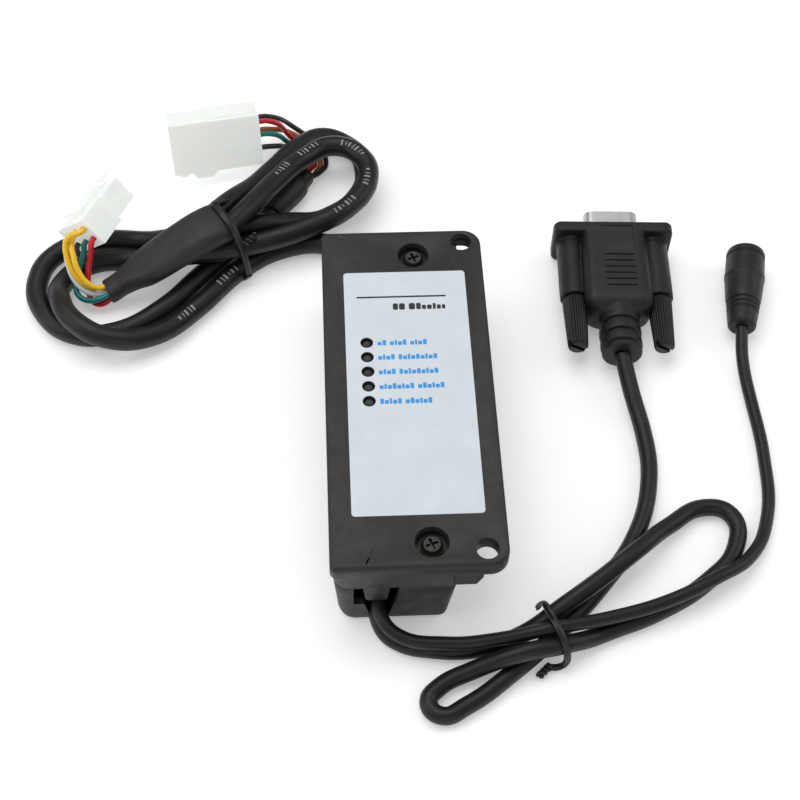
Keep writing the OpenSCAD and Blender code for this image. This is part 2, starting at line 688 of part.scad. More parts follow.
module d_prism(w, h, r, y0, y1) {
    translate([0, y1, 0]) rotate([90, 0, 0]) linear_extrude(y1 - y0) polygon(d_points(w, h, r));
}

module hood_section(y, half_w, z0, z1, r) {
    translate([0, y, 0]) rotate([90, 0, 0]) linear_extrude(0.02) outline(-half_w, half_w, z0, z1, r, r);
}

thumb_bore_r = 2.15;
grip_ys = [for (i = [0:5]) -12.65 - 2.31 * i];

module de9_hood() {
    color(plastic) place_de9() difference() {
        union() {
            rotate([90, 0, 0]) linear_extrude(3.6) outline(-17.8, 17.8, -7.4, 7.2, 2.4, 2.4);
            hull() {
                hood_section(-0.3, 9, -6.9, 7.2, 2.2);
                hood_section(-4.5, 9.6, -6.9, 7, 2.6);
                hood_section(-26, 10.3, -6.9, 7, 3);
                hood_section(-28.6, 9.9, -6.6, 6.7, 3);
                hood_section(-30.6, 8.6, -5.9, 5.6, 3);
                hood_section(-31.8, 6.8, -5, 4.4, 3);
            }
            for (s = [-1, 1]) translate([s * screw_pitch, 0, 0]) rotate([90, 0, 0])
                cylinder(r = 4.2, h = -barrel_end, $fn = 40);
            // the ribbed strain relief
            rotate([90, 0, 0]) {
                cylinder(r = 5.1, h = -hood_end - 0.8, $fn = 40);
                cylinder(r = 6, h = 34.3, $fn = 40);
                translate([0, 0, 35.6]) cylinder(r = 6.1, h = 2.9, $fn = 40);
                translate([0, 0, 39.8]) cylinder(r = 6.1, h = 2.7, $fn = 40);
                translate([0, 0, 43.6]) cylinder(r1 = 6, r2 = 5.8, h = -hood_end - 43.6, $fn = 40);
            }
        }
        for (s = [-1, 1]) translate([s * screw_pitch, 1, 0]) rotate([90, 0, 0])
            cylinder(r = thumb_bore_r, h = 40, $fn = 40);
        // room for the knobs beside the body
        for (s = [-1, 1]) translate([s * screw_pitch, barrel_end, 0]) rotate([90, 0, 0])
            cylinder(r = knob_r + 0.4, h = 15, $fn = 40);
        // six grip grooves and a corner line in the top face
        for (y = grip_ys) box_at(-3.7, 5.3, y - 0.25, y + 0.25, 6.55, 8);
        box_at(-4, 5.6, -1.9, -1.55, 6.8, 8);
        box_at(5.25, 5.6, -11.2, -1.55, 6.7, 8);
        d_prism(16.34, 8.4, 2.5, -1.5, 1);
        d_prism(15, 7.2, 2, -5, 1);
    }
}

module de9_shell() {
    color(steel) place_de9() difference() {
        d_prism(16.33, 8.36, 2.5, -1.48, 6.4);
        d_prism(15.4, 7.44, 2.1, -2, 7);
    }
}

function de9_pins() = concat(
    [for (i = [-2:2]) [i * 2.77, 1.42]],
    [for (i = [-1.5:1:1.5]) [i * 2.77, -1.42]]);

module de9_insert() {
    color([0.1, 0.1, 0.1]) place_de9() difference() {
        d_prism(14.9, 7.1, 2, -4.9, 5.7);
        for (p = de9_pins()) translate([p[0], 0, p[1]]) rotate([90, 0, 0])
            cylinder(r = 0.85, h = 20, center = true, $fn = 20);
    }
}

module de9_contacts() {
    color(gold) place_de9() for (p = de9_pins()) translate([p[0], 5, p[1]]) rotate([90, 0, 0])
    difference() {
        cylinder(r = 0.8, h = 9.8, $fn = 20);
        translate([0, 0, -1]) cylinder(r = 0.55, h = 6, $fn = 20);
    }
}

knob_len = 17.4;
knob_r = 3.65;
knob_tip_r = 2.95;
thread_r = 1.42;

// The steel part of a captive thumbscrew: a threaded tip, a shoulder in the barrel, a core in the knob
module thumbscrew(s) {
    color(steel) place_de9() translate([s * screw_pitch, 0, 0]) rotate([90, 0, 0]) {
        translate([0, 0, -3.4]) cylinder(r = thread_r, h = 6, $fn = 32);
        translate([0, 0, 2]) cylinder(r = thumb_bore_r - 0.05, h = -barrel_end - 3.4, $fn = 32);
        translate([0, 0, -barrel_end - 1.5]) cylinder(r = 1.6, h = 14.6, $fn = 32);
    }
}

function knurl(r, n, depth) =
    [for (i = [0:2 * n - 1]) (r - (i % 2) * depth) * [cos(180 * i / n), sin(180 * i / n)]];

module knob(s) {
    color(plastic) place_de9() translate([s * screw_pitch, barrel_end - 0.25, 0]) rotate([90, 0, 0])
    difference() {
        union() {
            translate([0, 0, 0.5]) linear_extrude(knob_len - 1, scale = knob_tip_r / knob_r)
                polygon(knurl(knob_r, 24, 0.3));
            cylinder(r1 = knob_r - 0.4, r2 = knob_tip_r - 0.4, h = knob_len, $fn = 32);
        }
        translate([0, 0, -1]) cylinder(r = 1.62, h = 14.2, $fn = 32);
        translate([-4, -0.6, knob_len - 1.8]) cube([8, 1.2, 3]);
    }
}

module serial_cable() {
    color(jacket) tube(serial_route, serial_d, 10);
}

// --- power jack ---
module place_jack() {
    translate(jack_at) rotate([0, 0, jack_turn]) children();
}

module power_jack_body() {
    color(plastic) place_jack() rotate([90, 0, 0]) rotate_extrude($fn = 48) difference() {
        polygon([
            [0, 0], [5, 0], [5.6, 0.5], [5.8, 1.2], [5.8, 2.4], [5.5, 2.7], [5.5, 3.1], [5.8, 3.4],
            [5.85, 9], [6, 9.3], [6, 10.6], [5.8, 11.2], [5.35, 17.4], [5, 19.5], [4.5, 19.8],
            [4.5, 20.4], [4.9, 20.7], [4.8, 21.1], [4.35, 21.4], [4.35, 22], [4.75, 22.3],
            [4.65, 22.7], [4.2, 23], [4.2, 23.6], [4.6, 23.9], [4.1, jack_len - 0.6],
            [3.5, jack_len], [0, jack_len]]);
        translate([0, -1]) square([4, 13]);
    }
}

module power_jack_insert() {
    color([0.06, 0.06, 0.06]) place_jack() rotate([90, 0, 0]) difference() {
        translate([0, 0, 0.3]) cylinder(r = 3.98, h = 11.6, $fn = 48);
        translate([0, 0, -1]) cylinder(r = 2.85, h = 10.8, $fn = 48);
        translate([0, 0, 5]) cylinder(r = 0.9, h = 10, $fn = 24);
        translate([-0.9, 2.2, 2]) cube([1.8, 1.3, 10]);
    }
}

module power_jack_pin() {
    color(steel) place_jack() rotate([90, 0, 0]) {
        translate([0, 0, 1.4]) cylinder(r = 1, h = 8.4, $fn = 24);
        translate([0, 0, 9.6]) cylinder(r = 0.88, h = 2.2, $fn = 24);
    }
}

module power_jack_spring() {
    color(gold) place_jack() rotate([90, 0, 0]) translate([0, 2.4, 2.6])
        rotate([0, 90, 0]) linear_extrude(1.5, center = true)
            polygon([[0, 0.6], [-4, -0.1], [-8.8, 0.6], [-8.8, 0.9], [-4, 0.2], [0, 0.9]]);
}

module power_cable() {
    color(jacket) tube(power_route, power_d, 8);
}

top_cover();
base_tray();
label();
status_leds();
circuit_board();
microcontroller();
serial_driver_chip();
optocouplers();
voltage_regulator();
capacitors();
crystal();
chip_resistors();
board_headers();
board_plugs();
board_wires();
board_screws();
cover_screws();
front_strain_tie();
rear_strain_tie();
bus_cable();
bus_branch_cable();
splice_sleeve();
branch_sleeve();
bus_twist_tie();
receptacle_housing();
receptacle_latch();
receptacle_contacts();
yellow_wires();
white_wires();
teal_wires();
red_wires();
black_wires();
plug_housing();
plug_contacts();
plug_red_wire();
plug_teal_wire();
plug_black_wires();
plug_orange_wire();
serial_cable();
serial_twist_tie();
de9_hood();
de9_shell();
de9_insert();
de9_contacts();
thumbscrew(-1);  // left_thumbscrew
knob(-1);  // left_knob
thumbscrew(1);  // right_thumbscrew
knob(1);  // right_knob
power_cable();
power_jack_body();
power_jack_insert();
power_jack_pin();
power_jack_spring();
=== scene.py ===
"""A payment-bus to serial adapter box with its cables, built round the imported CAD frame."""
import math

import bmesh
import bpy
from mathutils import Matrix, Vector, noise
from mathutils.geometry import interpolate_bezier


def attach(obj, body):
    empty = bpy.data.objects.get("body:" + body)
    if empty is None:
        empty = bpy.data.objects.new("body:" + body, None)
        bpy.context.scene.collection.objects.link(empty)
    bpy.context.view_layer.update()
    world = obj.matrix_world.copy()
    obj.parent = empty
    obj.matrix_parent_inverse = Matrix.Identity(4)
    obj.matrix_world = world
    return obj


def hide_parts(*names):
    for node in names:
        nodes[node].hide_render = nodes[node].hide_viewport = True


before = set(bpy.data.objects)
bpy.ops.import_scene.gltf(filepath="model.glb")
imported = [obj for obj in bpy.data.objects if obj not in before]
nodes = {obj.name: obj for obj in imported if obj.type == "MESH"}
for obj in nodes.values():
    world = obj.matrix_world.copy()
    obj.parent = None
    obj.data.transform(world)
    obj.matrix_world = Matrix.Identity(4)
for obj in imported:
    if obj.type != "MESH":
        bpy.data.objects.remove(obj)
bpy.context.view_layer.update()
MM = 0.001
ROOT = "adapter"
scene = bpy.context.scene

# ---------------------------------------------------------------- camera and light
SENSOR, LENS = 36.0, 72.2
CAMERA_AT = Vector((-20.35, -244.68, 378.12)) * MM
CAMERA_FORWARD = Vector((0.04150, 0.56775, -0.82215))
CAMERA_UP = Vector((0.02803, 0.82188, 0.56898))
cam_data = bpy.data.cameras.new("camera")
cam_data.sensor_width = SENSOR
cam_data.lens = LENS
cam_data.clip_start = 0.01
cam = bpy.data.objects.new("camera", cam_data)
right = CAMERA_FORWARD.cross(CAMERA_UP).normalized()
up = right.cross(CAMERA_FORWARD).normalized()
cam.matrix_world = Matrix((right, up, -CAMERA_FORWARD.normalized())).transposed().to_4x4()
cam.matrix_world.translation = CAMERA_AT
scene.collection.objects.link(cam)
scene.camera = cam
scene.view_settings.view_transform = "Standard"
scene.view_settings.look = "None"


def area_light(name, at, aim, size, watts):
    data = bpy.data.lights.new(name, "AREA")
    data.shape = "RECTANGLE"
    data.size, data.size_y = size
    data.energy = watts
    lamp = bpy.data.objects.new(name, data)
    lamp.location = at
    lamp.rotation_euler = (Vector(aim) - Vector(at)).to_track_quat("-Z", "Y").to_euler()
    scene.collection.objects.link(lamp)


area_light("overhead_softbox", (-0.15, 0.25, 0.85), (0, 0.02, 0), (0.9, 0.7), 3.9)
area_light("left_softbox", (-0.75, -0.1, 0.45), (-0.02, 0, 0), (0.5, 0.5), 1.35)
area_light("right_softbox", (0.75, 0.15, 0.5), (0.03, 0, 0), (0.5, 0.5), 1.15)
area_light("front_fill", (0.05, -0.8, 0.35), (0, 0, 0), (0.7, 0.35), 0.8)

world = bpy.data.worlds.new("studio")
scene.world = world
world.use_nodes = True
sky = world.node_tree.nodes["Background"].inputs
sky["Color"].default_value = (1, 1, 1, 1)
sky["Strength"].default_value = 0.36


# ---------------------------------------------------------------- materials
# How fine the colour's mottling, the rubbed edges and the gloss vary, per metre
MOTTLE_SCALE, SCUFF_SCALE, GLOSS_SCALE = 140.0, 900.0, 260.0


def surface(name, colour, rough, grain, mottle, rough_swing=0.06, worn=None, metallic=0.0, **sockets):
    """A procedural material. grain is (scale per metre, bump depth in mm); mottle is how much the colour
    varies; worn is (colour, amount) for rubbed edges. sockets set the shader's own inputs."""
    material = bpy.data.materials.new(name)
    material.use_nodes = True
    tree = material.node_tree
    shader = tree.nodes["Principled BSDF"]
    shader.inputs["Base Color"].default_value = (*colour, 1)
    shader.inputs["Roughness"].default_value = rough
    shader.inputs["Metallic"].default_value = metallic
    for key, value in sockets.items():
        shader.inputs[key.replace("_", " ")].default_value = value
    where = tree.nodes.new("ShaderNodeTexCoord").outputs["Object"]

    def noise_at(scale, detail=4.0):
        texture = tree.nodes.new("ShaderNodeTexNoise")
        texture.inputs["Scale"].default_value = scale
        texture.inputs["Detail"].default_value = detail
        tree.links.new(where, texture.inputs["Vector"])
        return texture.outputs["Fac"]

    def ranged(value, low, high, from_low=0.3, from_high=0.7):
        spread = tree.nodes.new("ShaderNodeMapRange")
        limits = {"From Min": from_low, "From Max": from_high, "To Min": low, "To Max": high}
        for key, limit in limits.items():
            spread.inputs[key].default_value = limit
        tree.links.new(value, spread.inputs["Value"])
        return spread.outputs["Result"]

    mix = tree.nodes.new("ShaderNodeMix")
    mix.data_type = "RGBA"
    mix.inputs["A"].default_value = (*[c * (1 - mottle) for c in colour], 1)
    mix.inputs["B"].default_value = (*[min(1, c * (1 + mottle)) for c in colour], 1)
    tree.links.new(ranged(noise_at(MOTTLE_SCALE), 0, 1), mix.inputs["Factor"])
    tint = mix.outputs["Result"]
    if worn:
        edge = tree.nodes.new("ShaderNodeNewGeometry").outputs["Pointiness"]
        scuff = tree.nodes.new("ShaderNodeMath")
        scuff.operation = "MULTIPLY"
        tree.links.new(ranged(edge, 0, worn[1], 0.52, 0.62), scuff.inputs[0])
        tree.links.new(ranged(noise_at(SCUFF_SCALE), 0.2, 1), scuff.inputs[1])
        rub = tree.nodes.new("ShaderNodeMix")
        rub.data_type = "RGBA"
        rub.inputs["B"].default_value = (*worn[0], 1)
        tree.links.new(scuff.outputs[0], rub.inputs["Factor"])
        tree.links.new(tint, rub.inputs["A"])
        tint = rub.outputs["Result"]
    tree.links.new(tint, shader.inputs["Base Color"])
    low, high = max(0.02, rough - rough_swing), min(1, rough + rough_swing)
    tree.links.new(ranged(noise_at(GLOSS_SCALE, 3.0), low, high), shader.inputs["Roughness"])
    bump = tree.nodes.new("ShaderNodeBump")
    bump.inputs["Distance"].default_value = grain[1] * MM
    bump.inputs["Strength"].default_value = 1.0
    tree.links.new(noise_at(grain[0], 2.0), bump.inputs["Height"])
    tree.links.new(bump.outputs["Normal"], shader.inputs["Normal"])
    return material


DARK_WEAR = ((0.09, 0.09, 0.09), 0.5)
case_black = surface("case_abs", (0.017, 0.017, 0.0175), 0.5, (2600, 0.03), 0.10, worn=DARK_WEAR,
    Specular_IOR_Level=0.4)
jacket_black = surface("cable_jacket", (0.0075, 0.0075, 0.0078), 0.42, (1800, 0.012), 0.12, 0.07,
    Specular_IOR_Level=0.36)
shrink_black = surface("sleeve_shrink", (0.021, 0.0205, 0.0205), 0.55, (900, 0.05), 0.15, 0.08,
    Specular_IOR_Level=0.4)
hood_black = surface("hood_pvc", (0.0085, 0.0085, 0.0087), 0.48, (2200, 0.025), 0.12,
    worn=((0.05, 0.05, 0.05), 0.35), Specular_IOR_Level=0.4)
tie_black = surface("tie_pvc", (0.007, 0.007, 0.007), 0.33, (1500, 0.02), 0.1)
chip_black = surface("moulding_black", (0.018, 0.018, 0.018), 0.55, (3000, 0.02), 0.1)
smoked = surface("lamp_epoxy", (0.06, 0.06, 0.062), 0.75, (500, 0.01), 0.15, 0.05, Specular_IOR_Level=0.25)
# Nylon for the six-way housings and latch, with a faint white emission: a painted glow that brightens them,
# though they are no lamp.
nylon = surface(
    "nylon_painted_glow", (0.86, 0.875, 0.865), 0.36, (1400, 0.02), 0.03, 0.08,
    Transmission_Weight=0.25, Subsurface_Weight=0.3, Subsurface_Scale=0.004, IOR=1.53,
    Emission_Color=(0.95, 1, 0.97, 1), Emission_Strength=0.16,
)
ivory = surface("ivory_nylon", (0.78, 0.75, 0.64), 0.5, (2000, 0.02), 0.05)
tin = surface("tinned_steel", (0.62, 0.62, 0.63), 0.36, (1300, 0.012), 0.08, 0.1, metallic=0.85)
steel = surface("plain_steel", (0.5, 0.5, 0.51), 0.34, (1700, 0.015), 0.1, 0.1, metallic=1.0)
black_oxide = surface("black_oxide", (0.03, 0.029, 0.026), 0.34, (1600, 0.02), 0.25, 0.1, metallic=0.6)
brass = surface("contact_brass", (0.83, 0.62, 0.28), 0.3, (1500, 0.01), 0.08, 0.08, metallic=1.0)
laminate = surface("board_laminate", (0.015, 0.11, 0.05), 0.35, (1500, 0.02), 0.2)
can_blue = surface("can_sleeve", (0.03, 0.04, 0.12), 0.35, (900, 0.01), 0.1)
label_film = surface("label_film", (0.68, 0.735, 0.79), 0.45, (700, 0.01), 0.03, 0.05, Coat_Weight=0.15)
ink_black = surface("ink_black", (0.02, 0.02, 0.024), 0.6, (2500, 0.006), 0.1)
ink_blue = surface("ink_blue", (0.035, 0.33, 0.80), 0.55, (2500, 0.006), 0.08)
scuff_dark = surface("scuff_dark", (0.006, 0.006, 0.006), 0.6, (2500, 0.006), 0.1)
scuff_light = surface("scuff_light", (0.11, 0.11, 0.11), 0.6, (2500, 0.006), 0.2)
ink_grey = surface("ink_grey", (0.30, 0.30, 0.31), 0.6, (2500, 0.006), 0.2)


def wire_coat(name, colour):
    return surface(name, colour, 0.34, (1500, 0.012), 0.07, 0.06)


wire_yellow = wire_coat("wire_yellow", (0.93, 0.57, 0.02))
wire_white = wire_coat("wire_white", (0.85, 0.84, 0.88))
wire_teal = wire_coat("wire_teal", (0.0, 0.20, 0.19))
wire_red = wire_coat("wire_red", (0.60, 0.008, 0.02))
wire_black = wire_coat("wire_black", (0.018, 0.018, 0.018))
wire_orange = wire_coat("wire_orange", (0.42, 0.14, 0.03))
floor_white = surface(
    "floor_paper", (0.93, 0.93, 0.93), 0.9, (300, 0.02), 0.01, 0.02,
    Emission_Color=(1, 1, 1, 1), Emission_Strength=0.3,
)


# ---------------------------------------------------------------- shape helpers, in mm
def add_mesh(name, verts, faces, material, sharp=40.0):
    """A mesh object in the row frame, from points in mm."""
    mesh = bpy.data.meshes.new(name)
    mesh.from_pydata([tuple(Vector(v) * MM) for v in verts], [], faces)
    return from_mesh(name, mesh, material, sharp)


def from_mesh(name, mesh, material, sharp=40.0):
    mesh.validate()
    mesh.shade_smooth()
    mesh.set_sharp_from_angle(angle=math.radians(sharp))
    mesh.materials.append(material)
    obj = bpy.data.objects.new(name, mesh)
    scene.collection.objects.link(obj)
    return obj


def placed(at, turn_z=0.0, turn_y=0.0):
    return (
        Matrix.Translation(at)
        @ Matrix.Rotation(math.radians(turn_z), 4, "Z")
        @ Matrix.Rotation(math.radians(turn_y), 4, "Y")
    )


# Turns a shape drawn along +Z so that it runs along -Y
LIE_BACK = Matrix.Rotation(math.radians(90), 4, "X")


def arc(cx, cy, r, a0, a1, n):
    angles = [math.radians(a0 + (a1 - a0) * i / n) for i in range(n + 1)]
    return [(cx + r * math.cos(a), cy + r * math.sin(a)) for a in angles]


def rounded(x0, x1, y0, y1, r_low, r_high, n=10):
    """A rectangle with round corners; r_low on the low-X side, r_high on the high-X side."""
    return (
        arc(x1 - r_high, y1 - r_high, r_high, 0, 90, n)
        + arc(x0 + r_low, y1 - r_low, r_low, 90, 180, n)
        + arc(x0 + r_low, y0 + r_low, r_low, 180, 270, n)
        + arc(x1 - r_high, y0 + r_high, r_high, 270, 360, n)
    )


def circle(cx, cy, r, n=48):
    return arc(cx, cy, r, 0, 360 - 360 / n, n - 1)


class Solid:
    """Collects closed shells in one mesh."""

    def __init__(self):
        self.bm = bmesh.new()

    def ring(self, points):
        return [self.bm.verts.new(p) for p in points]

    def skin(self, a, b):
        n = len(a)
        for i in range(n):
            self.bm.faces.new((a[i], a[(i + 1) % n], b[(i + 1) % n], b[i]))

    def skins(self, rings):
        for a, b in zip(rings, rings[1:]):
            self.skin(a, b)

    def loft(self, rings):
        """Skins from ring to ring, and a face across each end."""
        made = [self.ring(r) for r in rings]
        self.skins(made)
        self.bm.faces.new(made[0][::-1])
        self.bm.faces.new(made[-1])
        return self

    def stack(self, contours, levels):
        """Walls through (z, inset) levels for each contour function, and a filled cap at both ends."""
        ends = [[], []]
        for contour in contours:
            made = [self.ring([(x, y, z) for x, y in contour(inset)]) for z, inset in levels]
            self.skins(made)
            ends[0].append(made[0])
            ends[1].append(made[-1])
        for end in ends:
            self.cap(end)
        return self

    def cap(self, rings):
        edges = []
        for ring in rings:
            for a, b in zip(ring, ring[1:] + ring[:1]):
                edges.append(self.bm.edges.get((a, b)) or self.bm.edges.new((a, b)))
        bmesh.ops.triangle_fill(self.bm, use_beauty=True, use_dissolve=False, edges=edges)

    def lathe(self, profile, at=None, n=48):
        """Turns a closed (r, z) profile round Z. One that starts and ends at r 0 is closed by its axis."""
        at = at or Matrix.Identity(4)
        on_axis = profile[0][0] == 0 and profile[-1][0] == 0
        core = profile[1:-1] if on_axis else profile
        rings = [self.ring([at @ Vector((*p, z)) for p in circle(0, 0, r, n)]) for r, z in core]
        self.skins(rings)
        if on_axis:
            self.bm.faces.new(rings[0][::-1])
            self.bm.faces.new(rings[-1])
        else:
            self.skin(rings[-1], rings[0])
        return self

    def box(self, x0, x1, y0, y1, z0, z1, edge=0.0):
        steps = ((z0, edge), (z0 + edge, 0), (z1 - edge, 0), (z1, edge)) if edge else ((z0, 0), (z1, 0))
        r = max(edge, 0.001)
        self.loft([
            [(x, y, z) for x, y in rounded(x0 + e, x1 - e, y0 + e, y1 - e, r, r, 3)] for z, e in steps
        ])
        return self

    def mesh(self, name, at=None):
        bmesh.ops.recalc_face_normals(self.bm, faces=self.bm.faces)
        self.bm.transform(Matrix.Scale(MM, 4) @ (at or Matrix.Identity(4)))
        data = bpy.data.meshes.new(name)
        self.bm.to_mesh(data)
        self.bm.free()
        return data

    def object(self, name, material, at=None, sharp=40.0):
        return from_mesh(name, self.mesh(name, at), material, sharp)


def apply_modifiers(obj):
    bpy.context.view_layer.update()
    data = bpy.data.meshes.new_from_object(obj.evaluated_get(bpy.context.evaluated_depsgraph_get()))
    obj.modifiers.clear()
    obj.data = data


def carve(obj, cutter_mesh, sharp=40.0):
    """Cuts a mesh out of obj, and leaves one clean mesh."""
    cutter = bpy.data.objects.new("cutter", cutter_mesh)
    scene.collection.objects.link(cutter)
    cut = obj.modifiers.new("cut", "BOOLEAN")
    cut.operation = "DIFFERENCE"
    cut.object = cutter
    cut.solver = "EXACT"
    cut.use_self = True
    apply_modifiers(obj)
    bpy.data.objects.remove(cutter)
    obj.data.shade_smooth()
    obj.data.set_sharp_from_angle(angle=math.radians(sharp))


def soften(obj, width, segments):
    """Rounds a piece's edges by width in mm."""
    bevel = obj.modifiers.new("round", "BEVEL")
    bevel.width = width * MM
    bevel.limit_method = "ANGLE"
    bevel.angle_limit = math.radians(35)
    bevel.segments = segments
    bevel.harden_normals = True


def dress(name, material, round_mm=0.0, segments=2):
    """Gives a CAD node its finish, and rounded edges if asked."""
    obj = nodes[name]
    obj.data.materials.clear()
    obj.data.materials.append(material)
    obj.data.shade_smooth()
    obj.data.set_sharp_from_angle(angle=math.radians(30))
    if round_mm:
        soften(obj, round_mm, segments)


def on(obj, slot, *replaced, body=ROOT):
    """Rides obj on its body and hides the CAD nodes that it stands for. Its slot is not used."""
    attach(obj, body)
    if replaced:
        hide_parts(*replaced)
    return obj


# ---------------------------------------------------------------- routes, in mm, as in the CAD source
bus_route = [
    (-10, 46, 7), (-10, 59, 6.4), (-12.5, 67, 4.4), (-21, 72.5, 3.2), (-34, 71.5, 3.2),
    (-46.5, 64, 3.2), (-60, 49, 3.4), (-73, 37.5, 5.6), (-84, 35, 8.4), (-93.5, 39.5, 10.1),
    (-98.7, 48, 9.3), (-99.3, 59.5, 4), (-93, 66.5, 3.2), (-80, 67.6, 3.8), (-67, 65.9, 7.4),
    (-55, 65.1, 9.9), (-40, 68.6, 9.8), (-25, 74.6, 9.7), (-14, 81.8, 9.7), (-7.9, 92, 9.7),
    (-9.5, 102.2, 9.7), (-18, 107, 9.9), (-27.5, 101, 11), (-36, 89.5, 13.6), (-44.4, 75.9, 16.5),
    (-50.6, 67.9, 16.9),
]
branch_route = [
    (-54.8, 73.4, 16.6), (-49.5, 80.9, 14.6), (-42.8, 90.2, 10.6), (-36, 100, 8.6), (-29.5, 108.5, 7.6),
    (-21, 114.5, 5.8), (-12.5, 111.8, 3.6), (-8.5, 102, 3.2), (-11.5, 91, 3.2), (-21, 83, 3.2),
    (-32.5, 78.7, 6.4), (-41.2, 75.5, 9.7), (-53, 72.5, 9.8), (-65, 72.8, 7.6), (-78, 75, 3.8),
    (-91, 75.8, 3.2), (-102, 71.5, 3.2), (-107.2, 61.5, 3.2), (-105, 50, 3.2), (-95.7, 41.1, 3.2),
    (-83, 41, 3.2), (-70, 49, 3.2), (-58.5, 61.8, 3.2), (-47.5, 74, 3.2), (-37.8, 85.4, 3.4),
]
serial_route = [
    (-10, -46, 4.65), (-10, -55.5, 3.7), (-6.5, -60.3, 2.4), (4, -63.6, 2.4), (16, -63.6, 2.4),
    (27, -60.3, 3.2), (38, -54.3, 6.8), (49, -46.8, 7.6), (59, -39, 7.4), (69.5, -29.8, 3.8),
    (80, -23.8, 2.4), (87, -26.4, 2.4), (86.8, -36, 2.4), (77, -46.8, 2.4), (63, -55, 2.4),
    (48, -60.8, 2.8), (36, -65.7, 6.8), (25, -68, 7.7), (13, -70.2, 3.2), (4.5, -74, 2.4),
    (1.5, -78.2, 2.4), (4.6, -81.8, 2.4), (11, -79.4, 2.4), (24, -70.3, 2.4), (37, -59.2, 2.4),
    (49, -46.8, 2.4), (60, -32, 2.4), (66, -15, 2.4), (66.6, 1, 2.6), (64.4, 14, 5.2),
    (63, 24.7, 7.6),
]
power_route = [
    (-10, -46, 8.86), (-9.7, -56, 8), (-5.5, -61.3, 6.9), (7, -64, 6.75), (20, -63.6, 7.4),
    (34, -61.6, 8.5), (50, -58.5, 7.4), (65, -54.2, 6.9), (79, -47.8, 6.9), (90.2, -39.7, 3.8),
    (97, -27, 1.8), (99.5, -8, 1.8), (99.2, 12, 1.8), (98.6, 25, 3.9), (99.6, 34.5, 5.95),
]
BUS_D, SERIAL_D, POWER_D, WIRE_D = 6.4, 4.8, 3.6, 1.7

DE9 = placed((64.9, 69.2, 7.6), -2.5)
RECEPTACLE = placed((-88.9, 76.4, 15), -26, 136)
PLUG = placed((-55.2, 110.9, 10.1), 99, -65)
PITCH, RECEPTACLE_L, PLUG_L = 4.2, 19.6, 28


def cord_curve(name, route, diameter, material):
    """One smooth open curve through the route, with a round section."""
    curve = bpy.data.curves.new(name, "CURVE")
    curve.dimensions = "3D"
    curve.resolution_u = 8
    curve.bevel_depth = diameter / 2 * MM
    curve.bevel_resolution = 5
    curve.use_fill_caps = True
    curve.twist_mode = "MINIMUM"
    spline = curve.splines.new("BEZIER")
    spline.bezier_points.add(len(route) - 1)
    for point, at in zip(spline.bezier_points, route):
        point.co = Vector(at) * MM
        point.handle_left_type = point.handle_right_type = "AUTO"
    curve.materials.append(material)
    obj = bpy.data.objects.new(name, curve)
    scene.collection.objects.link(obj)
    bpy.context.view_layer.update()
    # where the cord lies on the floor its curve stays level between the points
    for point in spline.bezier_points:
        if point.co.z < (diameter / 2 + 0.7) * MM:
            ends = point.handle_left.copy(), point.handle_right.copy()
            point.handle_left_type = point.handle_right_type = "FREE"
            point.handle_left, point.handle_right = [(h.x, h.y, point.co.z) for h in ends]
    return obj


def centreline(obj):
    """Points in mm along a curve object's centreline."""
    bpy.context.view_layer.update()
    points = obj.data.splines[0].bezier_points
    line = []
    for a, b in zip(points, points[1:]):
        line += interpolate_bezier(a.co, a.handle_right, b.handle_left, b.co, 25)[:-1]
    line.append(points[-1].co.copy())
    return [Vector(p) / MM for p in line]


def line_length(line):
    return sum((b - a).length for a, b in zip(line, line[1:]))


bus_cord = cord_curve("bus_cord", bus_route, BUS_D, jacket_black)
branch_cord = cord_curve("bus_branch_cord", branch_route, BUS_D, jacket_black)
serial_cord = cord_curve("serial_cord", serial_route, SERIAL_D, jacket_black)
power_cord = cord_curve("power_cord", power_route, POWER_D, jacket_black)
on(bus_cord, "jacket_rubber", "bus_cable")
on(branch_cord, "jacket_rubber", "bus_branch_cable")
on(serial_cord, "jacket_rubber", "serial_cable")
on(power_cord, "jacket_rubber", "power_cable")


# ---------------------------------------------------------------- loose wires
def into_hole(housing, length, hole, before, inside):
    """Two points that lead a wire straight into a hole in the back of a housing."""
    i, k = hole
    return [tuple(housing @ Vector((i * PITCH, y - length / 2, k * PITCH))) for y in (-before, inside)]


